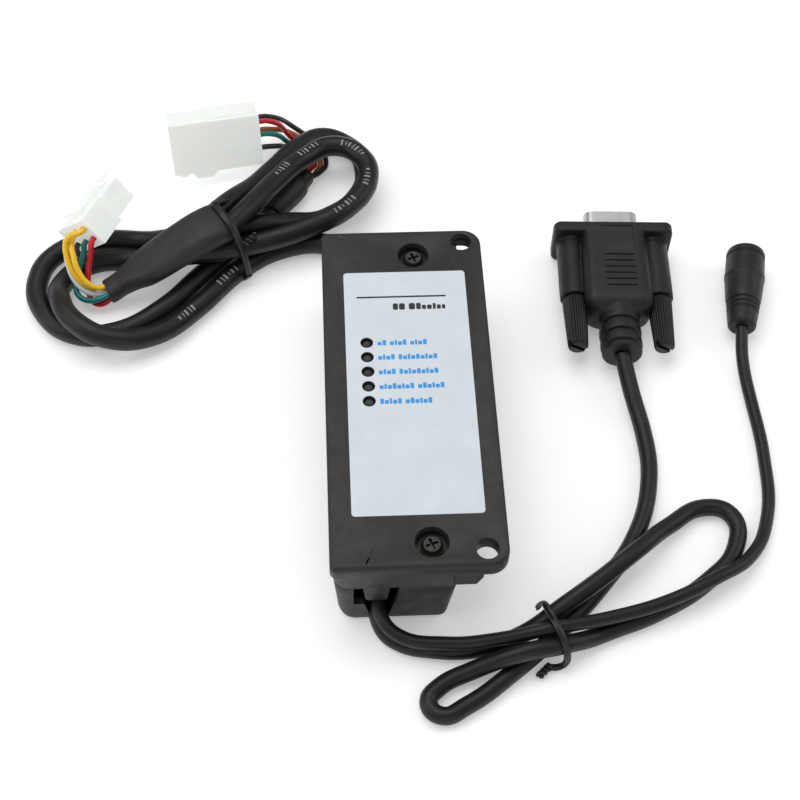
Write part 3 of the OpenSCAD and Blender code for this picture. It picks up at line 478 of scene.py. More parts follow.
receptacle_wires = {
    "yellow_wire_a": ("yellow", (-1, -0.5), [
        (-86.1, 56.3, 6.2), (-89.3, 55.2, 6.4), (-92.4, 55.3, 8.2), (-95.2, 57.4, 10.4),
        (-96.9, 60.6, 13.2), (-97.3, 63.2, 16.4), (-95.9, 64.4, 19),
    ]),
    "yellow_wire_b": ("yellow", (0, -0.5), [
        (-85.6, 55.1, 7.2), (-88.6, 54.2, 7.8), (-91.4, 54.6, 9.6), (-93.7, 57, 12), (-95, 60.4, 14.6),
        (-95.6, 64, 16.2),
    ]),
    "white_wire": ("white", (1, -0.5), [
        (-85.4, 54.8, 5.3), (-88.9, 53.9, 5.1), (-92.2, 54.4, 6), (-95.4, 57, 8), (-97.1, 60.6, 10.8),
        (-97.8, 64.6, 12.8),
    ]),
    "teal_wire": ("teal", (0, 0.5), [
        (-84.7, 53.3, 6.1), (-88.4, 51.7, 5.4), (-91.8, 52, 4.6), (-94.8, 54.2, 4.9), (-95.2, 58, 6.1),
        (-94, 61.2, 9.5), (-92.6, 64, 12.2),
    ]),
    "red_wire": ("red", (-1, 0.5), [
        (-84.6, 53.1, 4.3), (-88, 51.6, 3.2), (-90.8, 53.2, 3), (-91.7, 56.2, 5), (-91.4, 59.6, 9.2),
        (-90.3, 62.6, 13.6),
    ]),
    "black_wire": ("black", (1, 0.5), [
        (-85.6, 55.1, 3.6), (-89, 55.4, 2.6), (-92.3, 58.2, 3.8), (-92.4, 61.2, 6.6), (-93.9, 64.4, 9.4),
    ]),
}
# The five plug wires leave the sleeve in a round bunch and fan out side by side
FAN_STEP = 1.82
BUNCH_SIDE = [-1.43, -0.88, 0, 0.88, 1.43]
BUNCH_UP = [0.46, -1.21, 1.5, -1.21, 0.46]


def plug_wire_route(place):
    """The route of one wire; place runs from -2 to 2 across the fan."""
    out, side, up = place * FAN_STEP, BUNCH_SIDE[place + 2], BUNCH_UP[place + 2]
    return [
        (-27.4 + 0.83 * side, 99.8 - 0.56 * side, 3.5 + up),
        (-25.4 + 0.8 * out, 103.9 - 0.3 * out, 2.3 + 0.6 * up),
        (-24.2 + out, 108.4, 1.1),
        (-26.4 + 0.8 * out, 113.6 + 0.65 * out, 1.15),
        (-30.6 + 0.45 * out, 117 + 1.08 * out, 2.4 + 0.3 * (1 - abs(place) % 2)),
    ]


plug_wires = {
    "plug_black_wire_a": ("black", -2, (-1, 0.5)),
    "plug_teal": ("teal", -1, (0, 0.5)),
    "plug_red": ("red", 0, (1, 0.5)),
    "plug_orange": ("orange", 1, (0, -0.5)),
    "plug_black_wire_b": ("black", 2, (1, -0.5)),
}
coats = {
    "yellow": wire_yellow, "white": wire_white, "teal": wire_teal,
    "red": wire_red, "black": wire_black, "orange": wire_orange,
}
replaced_by = {
    "yellow_wire_a": "yellow_wires", "white_wire": "white_wires", "teal_wire": "teal_wires",
    "red_wire": "red_wires", "black_wire": "black_wires", "plug_black_wire_a": "plug_black_wires",
    "plug_teal": "plug_teal_wire", "plug_red": "plug_red_wire", "plug_orange": "plug_orange_wire",
}
receptacle_wire_objects, plug_wire_objects = [], []
for name, (colour, hole, route) in receptacle_wires.items():
    route = route + into_hole(RECEPTACLE, RECEPTACLE_L, hole, 1.2, 2.4)
    wire = cord_curve(name, route, WIRE_D, coats[colour])
    receptacle_wire_objects.append(wire)
for name, (colour, place, hole) in plug_wires.items():
    route = plug_wire_route(place) + into_hole(PLUG, PLUG_L, hole, 3.4, 3)
    wire = cord_curve(name, route, WIRE_D, coats[colour])
    plug_wire_objects.append(wire)
for wire in receptacle_wire_objects + plug_wire_objects:
    colour = receptacle_wires.get(wire.name, plug_wires.get(wire.name))[0]
    on(wire, "wire_" + colour, *([replaced_by[wire.name]] if wire.name in replaced_by else []))


# ---------------------------------------------------------------- sleeves and twisted ties
def smooth_line(points, steps):
    """A Catmull-Rom line through tuples of any length."""
    out = []
    p = [points[0]] + list(points) + [points[-1]]
    for a, b, c, d in zip(p, p[1:], p[2:], p[3:]):
        for k in range(steps):
            t = k / steps
            out.append(tuple(
                0.5 * (2 * q + (r - o) * t + (2 * o - 5 * q + 4 * r - s) * t * t
                       + (3 * q - o - 3 * r + s) * t ** 3)
                for o, q, r, s in zip(a, b, c, d)))
    out.append(tuple(points[-1]))
    return out


def swept(name, stations, material, section, steps, warp=None, sharp=50.0):
    """A tube through stations (x, y, z, half width, half height). section is a ring of (side, up) points.
    warp(position, angle), both from 0 to 1, gives the share by which the radius grows there."""
    line = smooth_line(stations, steps)
    last = len(line) - 1
    rings = []
    for i, (*at, half_w, half_h) in enumerate(line):
        here = Vector(at)
        heading = (Vector(line[min(i + 1, last)][:3]) - Vector(line[max(i - 1, 0)][:3])).normalized()
        side = heading.cross(Vector((0, 0, 1))).normalized()
        rise = side.cross(heading)
        ring = []
        for j, (a, b) in enumerate(section):
            bulge = 1 + (warp(i / last, j / len(section)) if warp else 0)
            ring.append(here + side * a * half_w * bulge + rise * b * half_h * bulge)
        rings.append(ring)
    return Solid().loft(rings).object(name, material, sharp=sharp)


def squircle(n, power):
    """A unit section between a circle (power 2) and a square."""
    out = []
    for i in range(n):
        a = 2 * math.pi * i / n
        c, s = math.cos(a), math.sin(a)
        out.append((math.copysign(abs(c) ** (2 / power), c), math.copysign(abs(s) ** (2 / power), s)))
    return out


def wrinkle(seed, depth, scale):
    """Uneven shrinking, as a warp for swept."""
    return lambda t, a: depth * noise.noise(
        Vector((t * scale, 2 * math.cos(2 * math.pi * a), 2 * math.sin(2 * math.pi * a) + seed)))


splice_sleeve = swept("splice_shrink_sleeve", [
    (-52.5, 70.5, 16.7, 6.5, 3.5), (-53.2, 70.0, 16.75, 6.9, 3.75), (-57.5, 67.3, 16.6, 6.9, 3.8),
    (-63.5, 63.8, 15.4, 6.8, 3.7), (-70, 60.6, 12.9, 6.5, 3.6), (-74.6, 58.7, 10.7, 6.0, 3.5),
    (-77.4, 57.7, 9.4, 4.9, 3.35), (-79.6, 57, 8.2, 4.2, 3.25), (-82, 56.2, 6.8, 3.7, 3.15),
    (-85.2, 54.6, 5.6, 3.6, 3.05), (-86, 54.2, 5.4, 3.35, 2.8),
], shrink_black, squircle(40, 2.7), 5, wrinkle(3.0, 0.035, 9))
branch_sleeve = swept("branch_shrink_sleeve", [
    (-37.9, 85.2, 4, 3.6, 3.45), (-37.5, 85.9, 4.05, 3.9, 3.75), (-36.5, 87.6, 4.2, 4.2, 3.95),
    (-33.6, 91.2, 4.25, 4.25, 4.0), (-30.4, 95.2, 4.2, 4.1, 3.9), (-29.6, 96.6, 4.0, 3.5, 3.4),
    (-29, 97.4, 3.8, 3.0, 2.95), (-27.2, 100.1, 3.5, 2.85, 2.8), (-26.8, 100.7, 3.4, 2.6, 2.6),
], shrink_black, squircle(32, 2.4), 5, wrinkle(8.0, 0.03, 7))
on(splice_sleeve, "sleeve_rubber", "splice_sleeve")
on(branch_sleeve, "sleeve_rubber", "branch_sleeve")

# A flat tie with a wire down its middle
TIE_SECTION = [(1, 0), (0.86, 0.5), (0.5, 0.55), (0.28, 1), (-0.28, 1), (-0.5, 0.55), (-0.86, 0.5),
               (-1, 0), (-0.86, -0.5), (-0.28, -0.6), (0.28, -0.6), (0.86, -0.5)]


def tie_loop(name, points, half_w, half_h):
    """The tie where it goes round the cables."""
    return swept(name, [(*p, half_w, half_h) for p in points], tie_black, TIE_SECTION, 6, sharp=60)


def twisted_tail(name, a, b, turns, r):
    """Two strands of tie of radius r, wound round each other from a to b."""
    a, b = Vector(a), Vector(b)
    axis = (b - a).normalized()
    side = axis.cross(Vector((0.3, 0.1, 1))).normalized()
    rise = axis.cross(side)
    solid = Solid()
    n = int(turns * 14)
    for phase in (0, math.pi):
        line = []
        for i in range(n + 1):
            w = phase + 2 * math.pi * turns * i / n
            line.append(a.lerp(b, i / n) + (side * math.cos(w) + rise * math.sin(w)) * r * 0.9)
        rings = []
        for i, p in enumerate(line):
            h = (line[min(i + 1, n)] - line[max(i - 1, 0)]).normalized()
            s = h.cross(axis.cross(h)).normalized()
            u = h.cross(s)
            angles = [k * math.pi / 4 for k in range(8)]
            rings.append([p + (s * math.cos(q) + u * math.sin(q)) * r for q in angles])
        solid.loft(rings)
    return solid.object(name, tie_black, sharp=60)


bus_tie = tie_loop("bus_tie_band", [
    (-45.6, 61.6, 1.2), (-44.4, 60.0, 4.6), (-44.9, 60.6, 9), (-46.2, 62.4, 14.6), (-47.8, 64.8, 18.8),
    (-50, 68, 20.9), (-53, 72.8, 21), (-54, 75.4, 20)], 1.15, 0.75)
bus_tie_tail = twisted_tail("bus_tie_twist", (-53.6, 73.4, 21.3), (-50.2, 78.6, 17.2), 2.2, 0.62)
bus_tie_knot = twisted_tail("bus_tie_knot", (-46.0, 63.6, 14.2), (-42.0, 67.4, 14.6), 1.8, 0.6)
serial_tie = tie_loop("serial_tie_band", [
    (31.2, -53.4, 4.4), (32.6, -54, 7.6), (33.4, -57.2, 9.3), (34.4, -61, 11.1), (36, -65, 10.2),
    (37.2, -68.3, 7.4), (37, -69.2, 3.8), (35.2, -69.2, 1.4), (32.4, -69, 1.3)], 1.0, 0.6)
serial_tie_tail = twisted_tail("serial_tie_twist", (33.4, -68.6, 1.5), (30.2, -71.6, 1.5), 1.7, 0.62)
on(bus_tie, "tie_plastic", "bus_twist_tie")
on(serial_tie, "tie_plastic", "serial_twist_tie")
for piece in (bus_tie_tail, bus_tie_knot, serial_tie_tail):
    on(piece, "tie_plastic")


# ---------------------------------------------------------------- print on the bus cable
PRINT_COLUMNS = 5


def printed_marks(name, cord, radius, runs, material):
    """Rows of short generic strokes on the cable's upper side, each bent to its round surface.
    runs holds (distance along the cord, number of strokes, shift round the cable)."""
    line = centreline(cord)
    walked = [0.0]
    for a, b in zip(line, line[1:]):
        walked.append(walked[-1] + (b - a).length)

    def station(d):
        i = next((k for k, w in enumerate(walked) if w >= d), len(line) - 1)
        i = max(i, 1)
        t = (d - walked[i - 1]) / max(walked[i] - walked[i - 1], 1e-6)
        here = line[i - 1].lerp(line[i], t)
        heading = (line[min(i + 1, len(line) - 1)] - line[max(i - 2, 0)]).normalized()
        face = Vector((0, -0.42, 0.9))
        face = (face - heading * face.dot(heading)).normalized()
        return here, face, heading.cross(face)

    def stroke_faces(base):
        def v(u, j, top):
            return base + (u * PRINT_COLUMNS + j) * 2 + top

        last = PRINT_COLUMNS - 1
        for j in range(last):
            faces.append((v(0, j, 1), v(1, j, 1), v(1, j + 1, 1), v(0, j + 1, 1)))
            faces.append((v(0, j, 0), v(0, j + 1, 0), v(1, j + 1, 0), v(1, j, 0)))
            faces.append((v(0, j, 0), v(0, j, 1), v(0, j + 1, 1), v(0, j + 1, 0)))
            faces.append((v(1, j, 0), v(1, j + 1, 0), v(1, j + 1, 1), v(1, j, 1)))
        faces.append((v(0, 0, 0), v(1, 0, 0), v(1, 0, 1), v(0, 0, 1)))
        faces.append((v(0, last, 0), v(0, last, 1), v(1, last, 1), v(1, last, 0)))

    verts, faces = [], []
    for start, count, shift in runs:
        for k in range(count):
            d = start + k * 1.45
            tall = (0.30, 0.30, 0.17, 0.30, 0.24)[(k * 3 + count) % 5]
            wide = (0.26, 0.62, 0.30, 0.55)[(k * 5 + count) % 4]
            stroke_faces(len(verts))
            for u in (0, 1):
                here, face, across = station(d + u * wide)
                for j in range(PRINT_COLUMNS):
                    a = shift - tall + 2 * tall * j / (PRINT_COLUMNS - 1)
                    out = face * math.cos(a) + across * math.sin(a)
                    verts += [here + out * (radius + lift) for lift in (-0.02, 0.035)]
    return add_mesh(name, verts, faces, material, 30)


bus_print = printed_marks("bus_cable_print", bus_cord, BUS_D / 2, [
    (63, 6, 0.1), (82, 5, 0.0), (232, 6, -0.2), (246, 5, -0.1), (259, 7, 0.1), (277, 6, 0.3), (291, 5, 0.2),
], ink_grey)
on(bus_print, "wire_white")

# ---------------------------------------------------------------- case
PLATE_W, PLATE_L, CASE_H, FRONT_LIP = 45, 108, 30, 0.8
SKIN_Z, RIM_Z, PARTING_Z = 27.6, 25.5, 17.5
BODY_X0, BODY_X1, BODY_Y = -21.7, 9.9, 53.4
SCREW_X, SCREW_YS, RECESS_Z, RECESS_R = 3.25, (-47.4, 45.2), 26.6, 4.3
MOUNT_X, MOUNT_Y, MOUNT_R = 17, 49.7, 2.9
LED_X, LED_YS, LED_R = -10.9, [14.7 - 4.8 * i for i in range(5)], 1.6
CABLE_X, BLOCK_Y = -10, 51.8
FLOOR_TOP, PILLAR_TOP, STANDOFF_TOP = 1.5, 18.95, 8


def plate_contour(inset):
    return rounded(
        -PLATE_W / 2 + inset, PLATE_W / 2 - inset, -PLATE_L / 2 - FRONT_LIP + inset, PLATE_L / 2 - inset,
        max(2 - inset, 0.3), 5 - inset)


def body_contour(inset):
    return rounded(
        BODY_X0 + inset, BODY_X1 - inset, -BODY_Y + inset, BODY_Y - inset,
        max(4 - inset, 0.6), max(2 - inset, 0.5))


def tray_contour(left, right, ends):
    return rounded(
        BODY_X0 + left, BODY_X1 - right, -BODY_Y + ends, BODY_Y - ends,
        max(4 - ends, 0.6), max(2 - ends / 4, 0.6))


def plate_ring(turn):
    """One ring of the plate's edge, turned through an angle from the side wall (0) to the top face (90).
    The front edge is rounder than the other three."""
    out = []
    a = math.radians(turn)
    for (x0, y0), (x1, y1) in zip(plate_contour(0), plate_contour(1)):
        front = min(max((-50.5 - y0) / 4, 0), 1)
        r = 0.45 + 0.95 * front * front * (3 - 2 * front)
        inset = r * (1 - math.cos(a))
        out.append((x0 + (x1 - x0) * inset, y0 + (y1 - y0) * inset, CASE_H - r * (1 - math.sin(a))))
    return out


def join(obj, part):
    """Adds one mesh object's shells to another's."""
    bm = bmesh.new()
    bm.from_mesh(obj.data)
    bm.from_mesh(part.data)
    bm.to_mesh(obj.data)
    bm.free()
    bpy.data.objects.remove(part)
    obj.data.shade_smooth()
    obj.data.set_sharp_from_angle(angle=math.radians(40))


def plate_levels(solid, levels):
    return [solid.ring([(x, y, z) for x, y in plate_contour(inset)]) for z, inset in levels]


def make_plate(solid):
    """The flanged plate, with its rim, the holes through it and their softened edges."""
    outer = plate_levels(solid, ((RIM_Z, 0.3), (RIM_Z + 0.1, 0.1), (RIM_Z + 0.3, 0)))
    outer += [solid.ring(plate_ring(turn)) for turn in (0, 15, 30, 45, 60, 75, 90)]
    inner = plate_levels(solid, ((RIM_Z, 2.05), (RIM_Z + 0.25, 1.8), (SKIN_Z, 1.8)))
    solid.skins(outer)
    solid.skins(inner)
    solid.cap([outer[0], inner[0]])
    top, under = [outer[-1]], [inner[-1]]
    holes = [(MOUNT_X, k * MOUNT_Y, MOUNT_R, 0.25) for k in (-1, 1)]
    holes += [(SCREW_X, y, RECESS_R, 0.25) for y in SCREW_YS]
    holes += [(LED_X, y, LED_R, 0.1) for y in LED_YS]
    for x, y, r, edge in holes:
        levels = ((SKIN_Z, 0), (CASE_H - edge, 0), (CASE_H - edge * 0.3, edge * 0.3), (CASE_H, edge))
        rings = [solid.ring([(*p, z) for p in circle(x, y, r + grow)]) for z, grow in levels]
        solid.skins(rings)
        under.append(rings[0])
        top.append(rings[-1])
    solid.cap(top)
    solid.cap(under)


def make_cover():
    solid = Solid()
    make_plate(solid)
    # the skirt, the screw towers and the mounting bosses
    solid.stack(
        [body_contour, lambda inset: body_contour(2 - inset)],
        [(PARTING_Z, 0.3), (PARTING_Z + 0.12, 0.1), (PARTING_Z + 0.35, 0), (SKIN_Z + 0.5, 0)])
    tower = [
        (1.8, 19), (5.5, 19), (5.6, 19.2), (5.6, SKIN_Z + 0.4), (RECESS_R, SKIN_Z + 0.4),
        (RECESS_R, RECESS_Z + 0.2), (RECESS_R - 0.2, RECESS_Z), (1.8, RECESS_Z)]
    boss = [
        (MOUNT_R, RIM_Z), (4.1, RIM_Z), (4.25, RIM_Z + 0.15), (4.25, SKIN_Z + 0.4), (MOUNT_R, SKIN_Z + 0.4)]
    for y in SCREW_YS:
        solid.lathe(tower, Matrix.Translation((SCREW_X, y, 0)))
    for k in (-1, 1):
        solid.lathe(boss, Matrix.Translation((MOUNT_X, k * MOUNT_Y, 0)))
    # the two tongues over the cable slots, round at the bottom and a little crowned in front
    for k, half, low in ((-1, 2.95, 10.2), (1, 3.6, 10.3)):
        y0 = k * (BODY_Y - 1.25)
        rings = []
        for out, shrink in ((-0.85, 0.0), (0.35, 0.0), (0.7, 0.2), (0.87, 0.6)):
            h = half - shrink
            z = low + shrink + 0.7
            outline = [(-h - 0.8, 18.6)] + arc(-h + 0.7, z, 0.7, 180, 270, 4)
            outline += arc(h - 0.7, z, 0.7, 270, 360, 4) + [(h + 0.8, 18.6)]
            rings.append([(CABLE_X - 0.75 + x, y0 + k * out, z) for x, z in outline])
        solid.loft(rings)
    cover = solid.object("cover_shell", case_black)
    # the blocks under the flange, cut by the mounting holes
    side_view = [
        (8.9, 18.2), (9.1, 18.1), (14.3, 18.1), (14.7, 18.35), (16.1, 21.4), (16.2, 21.8),
        (16.2, SKIN_Z + 0.4), (8.9, SKIN_Z + 0.4)]
    for k in (-1, 1):
        block = Solid().loft([[(x, k * BLOCK_Y + d, z) for x, z in side_view] for d in (-1.5, 1.5)])
        block = block.object("block", case_black)
        round_hole = circle(MOUNT_X, k * MOUNT_Y, MOUNT_R)
        bore = Solid().loft([[(*p, z) for p in round_hole] for z in (15, 32)])
        carve(block, bore.mesh("bore"))
        join(cover, block)
    return cover


def make_tray():
    solid = Solid()
    # (height, inset at the left, at the right and at both ends), up the outside and down the inside
    outer = [
        (0, 3.8, 4.0, 2.1), (0.06, 3.3, 3.5, 1.6), (0.25, 2.75, 3.0, 1.1), (0.7, 2.2, 2.6, 0.65),
        (1.4, 1.65, 2.25, 0.38), (2.4, 1.3, 2.02, 0.25), (3.4, 1.1, 1.9, 0.2), (8, 0.74, 1.28, 0.13),
        (13, 0.35, 0.6, 0.06), (17.2, 0.02, 0.04, 0.01), (17.38, 0.1, 0.1, 0.1), (PARTING_Z, 0.3, 0.3, 0.3)]
    inner = [
        (PARTING_Z, 1.95, 1.95, 1.95), (12, 2.35, 2.7, 2.1), (4.4, 3.0, 3.8, 2.3), (2.6, 3.6, 4.3, 2.9),
        (2.0, 4.6, 5.2, 3.8)]
    solid.loft([[(x, y, z) for x, y in tray_contour(*insets)] for z, *insets in outer + inner])
    tray = solid.object("tray_shell", case_black)
    # the cable slots
    for k, r, z in ((-1, 2.7, 4.2), (1, 3.5, 7)):
        outline = [(-6.6, 19), (-6.6, 9.4), (-6.4, 9.2), (-3.9, 9.2)] + arc(0, z, r, 180, 360, 16)
        outline += [(3.8, 9.2), (4.0, 9.25), (4.1, 9.5), (5.2, 17.5), (5.2, 19)]
        slot = Solid().loft([[(CABLE_X + x, k * BODY_Y + d, z) for x, z in outline] for d in (-4.5, 4.5)])
        carve(tray, slot.mesh("slot"))
    # the lip inside the cover's skirt, open at the cable slots and round the screw pillars
    lip = Solid().stack(
        [lambda inset: body_contour(2.08 + inset), lambda inset: body_contour(3 - inset)],
        [(14.5, 0), (18.8, 0), (19.1, 0.15)]).object("lip", case_black)
    openings = Solid()
    for k in (-1, 1):
        openings.box(CABLE_X - 6.6, CABLE_X + 5.2, k * BODY_Y - 5, k * BODY_Y + 5, 9, 25)
    for y in SCREW_YS:
        room = [(0, PILLAR_TOP), (5.8, PILLAR_TOP), (5.8, 25), (0, 25)]
        openings.lathe(room, Matrix.Translation((SCREW_X, y, 0)))
    carve(lip, openings.mesh("lip_cut"))
    # the screw pillars and the board's standoffs
    pillar = [(1.5, FLOOR_TOP), (1.5, PILLAR_TOP), (3.6, PILLAR_TOP), (3.6, FLOOR_TOP)]
    standoff = [
        (1.05, FLOOR_TOP), (1.05, STANDOFF_TOP), (2.1, STANDOFF_TOP), (2.2, STANDOFF_TOP - 0.1),
        (2.2, FLOOR_TOP)]
    posts = Solid()
    for y in SCREW_YS:
        posts.lathe(pillar, Matrix.Translation((SCREW_X, y, 0)))
    for x in (-15.6, 3.8):
        for y in (-33.2, 33.2):
            posts.lathe(standoff, Matrix.Translation((x, y, 0)))
    join(tray, lip)
    join(tray, posts.object("posts", case_black))
    return tray


on(make_cover(), "case_plastic", "top_cover")
on(make_tray(), "case_plastic", "base_tray")

# label and its print
dress("label", label_film)


def label_marks(name, bars, material):
    """Raised bars on the label, as (low x, high x, low y, high y)."""
    solid = Solid()
    for x0, x1, y0, y1 in bars:
        r = min(x1 - x0, y1 - y0) * 0.3
        bar = rounded(x0, x1, y0, y1, r, r, 3)
        solid.loft([[(*p, z) for p in bar] for z in (CASE_H + 0.19, CASE_H + 0.225)])
    return on(solid.object(name, material), "case_plastic")


# a rule and a short row of bars, and a row of small bars beside each lamp, which spell nothing
heading = [(-13.2, 11.5, 29.95, 30.5)]
x = -3.3
for wide, tall in (
    (1.7, 2.2), (1.9, 2.2), (0.8, 0), (2.0, 2.2), (1.6, 2.2), (1.4, 1.5), (1.6, 1.5), (1.1, 2.0),
    (1.4, 1.5), (1.2, 1.5),
):
    if tall:
        heading.append((x, x + wide - 0.3, 25.7, 25.7 + tall))
    x += wide
label_marks("label_heading", heading, ink_black)
captions = []
for y, groups in zip(LED_YS, ((2, 4, 4), (4, 9), (4, 9), (8, 6), (5, 6))):
    x = -8.0
    for count in groups:
        for k in range(count):
            wide = (1.3, 1.2, 1.35, 0.85)[(k * 3 + count) % 4]
            tall = (1.25, 1.7, 1.25, 1.8)[(k + count) % 4]
            captions.append((x, x + wide - 0.22, y - 1.05, y - 1.05 + tall))
            x += wide
        x += 0.8
label_marks("label_captions", captions, ink_blue)


def plate_marks(name, marks, material):
    """Slivers on the plate, as (x, y, half length, half width, turn in degrees)."""
    solid = Solid()
    for x, y, a, b, turn in marks:
        c, d = math.cos(math.radians(turn)), math.sin(math.radians(turn))
        oval = [(x + c * u * a - d * v * b, y + d * u * a + c * v * b) for u, v in circle(0, 0, 1, 12)]
        solid.loft([[(*p, z) for p in oval] for z in (CASE_H - 0.04, CASE_H + 0.012)])
    return on(solid.object(name, material), "case_plastic")


plate_marks("plate_scuff", [(-12.4, -50.7, 3.1, 0.27, 68), (-13.1, -52.5, 1.3, 0.34, 60)], scuff_dark)
plate_marks("plate_specks", [
    (-17.1, 52.6, 0.36, 0.16, 20), (-16, 52.1, 0.3, 0.14, -30), (9.6, 48.2, 0.2, 0.13, 0),
    (14.4, 43.3, 0.22, 0.15, 40), (11.2, 49.6, 0.17, 0.12, 0), (-1.5, 47.6, 0.16, 0.12, 0)], scuff_light)

dress("status_leds", smoked)
dress("cover_screws", black_oxide, 0.12)
dress("board_screws", steel)
for name in ("microcontroller", "serial_driver_chip", "voltage_regulator", "chip_resistors"):
    dress(name, chip_black)
dress("circuit_board", laminate)
dress("capacitors", can_blue)
dress("crystal", tin)
for name in ("optocouplers", "board_headers", "board_plugs"):
    dress(name, ivory)
for name in ("front_strain_tie", "rear_strain_tie"):
    dress(name, tie_black)
dress("board_wires", wire_red)

# ---------------------------------------------------------------- six-way connectors
dress("receptacle_housing", nylon, 0.22)
dress("receptacle_latch", nylon, 0.15)
dress("receptacle_contacts", brass)
dress("plug_housing", nylon, 0.35, 3)
dress("plug_contacts", brass)

# ---------------------------------------------------------------- DE-9 plug
dress("de9_shell", tin, 0.12)
dress("de9_insert", chip_black)
dress("de9_contacts", brass)


HOOD_VOXEL = 0.26
JACKSCREW_X, KNOB_Y, KNOB_R = 12.5, -24.65, 3.65


def sections(stations):
    """Rings in the connector's frame through stations (y, half width, low z, high z, corner)."""
    return [
        [(x, y, z) for x, z in rounded(-w, w, z0, z1, r, r, 8)]
        for y, w, z0, z1, r in smooth_line(stations, 4)
    ]


def pin(x, r, y0, y1):
    """Two rings of a round pin along the connector's Y."""
    return [[(x + u, y, z) for u, z in circle(0, 0, r)] for y in (y0, y1)]


def make_hood():
    """The flange, the moulded body, the screw barrels and the ribbed strain relief, melted into one skin.
    The grooves, the screw tunnels and the seat of the shell are cut afterwards."""
    solid = Solid()
    flange = [(0, 0.45), (-0.15, 0.15), (-0.5, 0), (-3.1, 0), (-3.45, 0.15), (-3.6, 0.45)]
    solid.loft([
        [(x, y, z) for x, z in rounded(-17.8 + i, 17.8 - i, -7.4 + i, 7.2 - i, 2.4 - i, 2.4 - i, 8)]
        for y, i in flange
    ])
    solid.loft(sections([
        (-0.25, 9.0, -6.8, 7.15, 2.2), (-4.5, 9.5, -6.9, 7.05, 2.8), (-15, 9.95, -6.9, 7.0, 3.1),
        (-24, 10.2, -6.9, 7.0, 3.2), (-27, 10.1, -6.8, 6.95, 3.2), (-28.8, 9.7, -6.5, 6.6, 3.2),
        (-30.3, 8.8, -6.0, 5.8, 3.2), (-31.4, 7.4, -5.2, 4.8, 3.0), (-32, 6, -4, 3.6, 2.4)]))
    barrel = [(0, 1.0), (3.9, 1.0), (4.2, 1.3), (4.25, 20), (4.2, 24.2), (4.0, 24.4), (0, 24.4)]
    for side in (-1, 1):
        solid.lathe(barrel, Matrix.Translation((side * JACKSCREW_X, 0, 0)) @ LIE_BACK)
    solid.lathe([
        (0, 28), (6.1, 28), (6.1, 33.9), (5.9, 34.3), (5.05, 34.45), (5.05, 35.5), (5.95, 35.65), (6.1, 36),
        (6.15, 38.1), (6.0, 38.45), (5.05, 38.6), (5.05, 39.7), (5.95, 39.85), (6.1, 40.2), (6.1, 42.1),
        (5.95, 42.4), (5.05, 42.55), (5.05, 43.5), (5.85, 43.65), (5.9, 44), (5.6, 44.5), (0, 44.5),
    ], LIE_BACK, 64)
    hood = solid.object("serial_hood", hood_black, DE9)
    melt = hood.modifiers.new("remesh", "REMESH")
    melt.mode = "VOXEL"
    melt.voxel_size = HOOD_VOXEL * MM
    melt.use_smooth_shade = True
    flow = hood.modifiers.new("flow", "SMOOTH")
    flow.factor = 0.5
    flow.iterations = 3
    hood.modifiers.new("thin", "DECIMATE").ratio = 0.35
    apply_modifiers(hood)
    cuts = Solid()
    for i in range(6):
        y = -12.65 - 2.31 * i
        cuts.box(-3.7, 5.3, y - 0.22, y + 0.22, 6.45, 9, edge=0.1)
    cuts.box(-4, 5.6, -1.9, -1.6, 6.85, 9)
    cuts.box(5.3, 5.6, -11.2, -1.5, 6.75, 9.1)
    for side in (-1, 1):
        cuts.loft(pin(side * JACKSCREW_X, 2.15, 2, -23))
        cuts.loft(pin(side * JACKSCREW_X, KNOB_R + 0.4, -24.4, -38))
    cuts.loft([[(x, y, z) for x, z in rounded(-8.17, 8.17, -4.2, 4.2, 2.4, 2.4, 6)] for y in (1, -1.5)])
    carve(hood, cuts.mesh("hood_cuts", DE9), 32)
    hood.data.materials.clear()
    hood.data.materials.append(hood_black)
    return hood


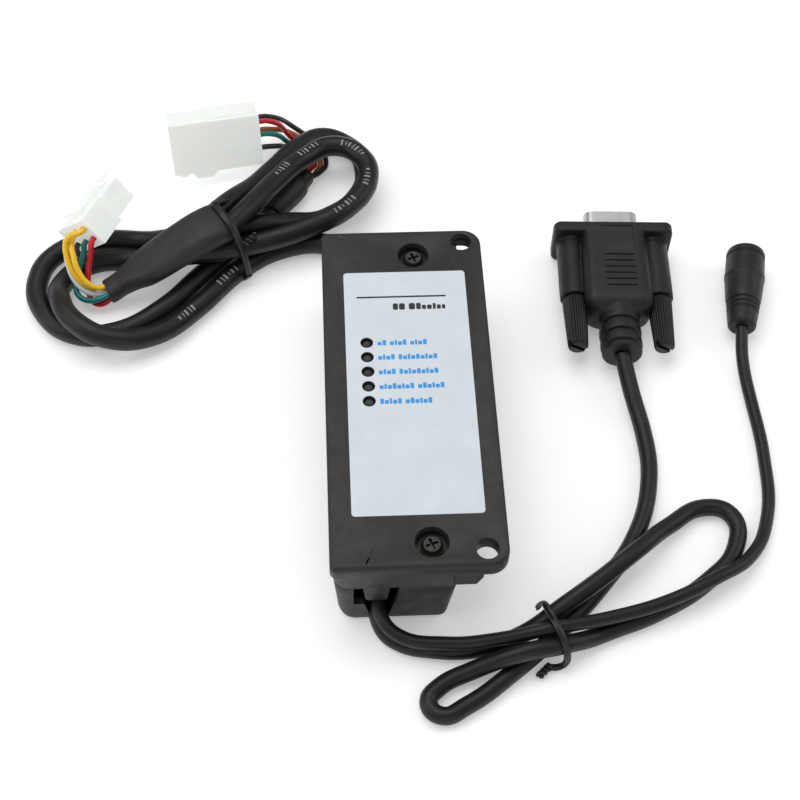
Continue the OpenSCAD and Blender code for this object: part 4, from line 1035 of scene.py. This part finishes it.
def make_knob(side):
    """A tapered ridged knob with a screwdriver slot across its end."""
    ridges, fine = 24, 6
    rings = []
    for z, r in (
        (0, 3.3), (0.25, 3.55), (0.7, KNOB_R), (8.5, 3.32), (16.5, 2.98), (17.1, 2.85), (17.4, 2.5),
    ):
        ring = []
        for i in range(ridges * fine):
            a = 2 * math.pi * i / (ridges * fine)
            dip = 0.3 * abs(math.sin(ridges * a / 2)) ** 0.6
            radius = r - 0.3 + dip if 0.3 < z < 17.3 else r - 0.15
            ring.append((radius * math.cos(a), radius * math.sin(a), z))
        rings.append(ring)
    knob = Solid().loft(rings).object(side + "_knob_shell", hood_black, sharp=55)
    cuts = Solid()
    cuts.box(-5, 5, -0.6, 0.6, 15.7, 19)
    cuts.loft([[(x, y, z) for x, y in circle(0, 0, 1.62)] for z in (-1, 13.3)])
    carve(knob, cuts.mesh("slot"), 55)
    x, turn = (-JACKSCREW_X, -28) if side == "left" else (JACKSCREW_X, -35)
    turned = Matrix.Rotation(math.radians(turn), 4, "Z")
    place = DE9 @ Matrix.Translation((x, KNOB_Y, 0)) @ LIE_BACK @ turned
    knob.data.transform(Matrix.Scale(MM, 4) @ place @ Matrix.Scale(1 / MM, 4))
    return knob


hood = on(make_hood(), "hood_plastic", "de9_hood")
for side in ("left", "right"):
    dress(side + "_thumbscrew", steel, 0.2)
    on(make_knob(side), "hood_plastic", side + "_knob", body=side + "_screw")

# ---------------------------------------------------------------- power jack
dress("power_jack_body", hood_black)
dress("power_jack_insert", chip_black)
dress("power_jack_pin", tin, 0.2)
dress("power_jack_spring", brass)


# ---------------------------------------------------------------- cord lengths, worked out and not kept
def length_of(cord):
    return round(line_length(centreline(cord)) * MM, 4)


length_of(bus_cord)
length_of(branch_cord)
length_of(serial_cord)
length_of(power_cord)

# ---------------------------------------------------------------- floor
corners = [(-1500, -1500, 0), (1500, -1500, 0), (1500, 1500, 0), (-1500, 1500, 0)]
floor = add_mesh("floor", corners, [(0, 1, 2, 3)], floor_white)
floor.location.z = -0.00002
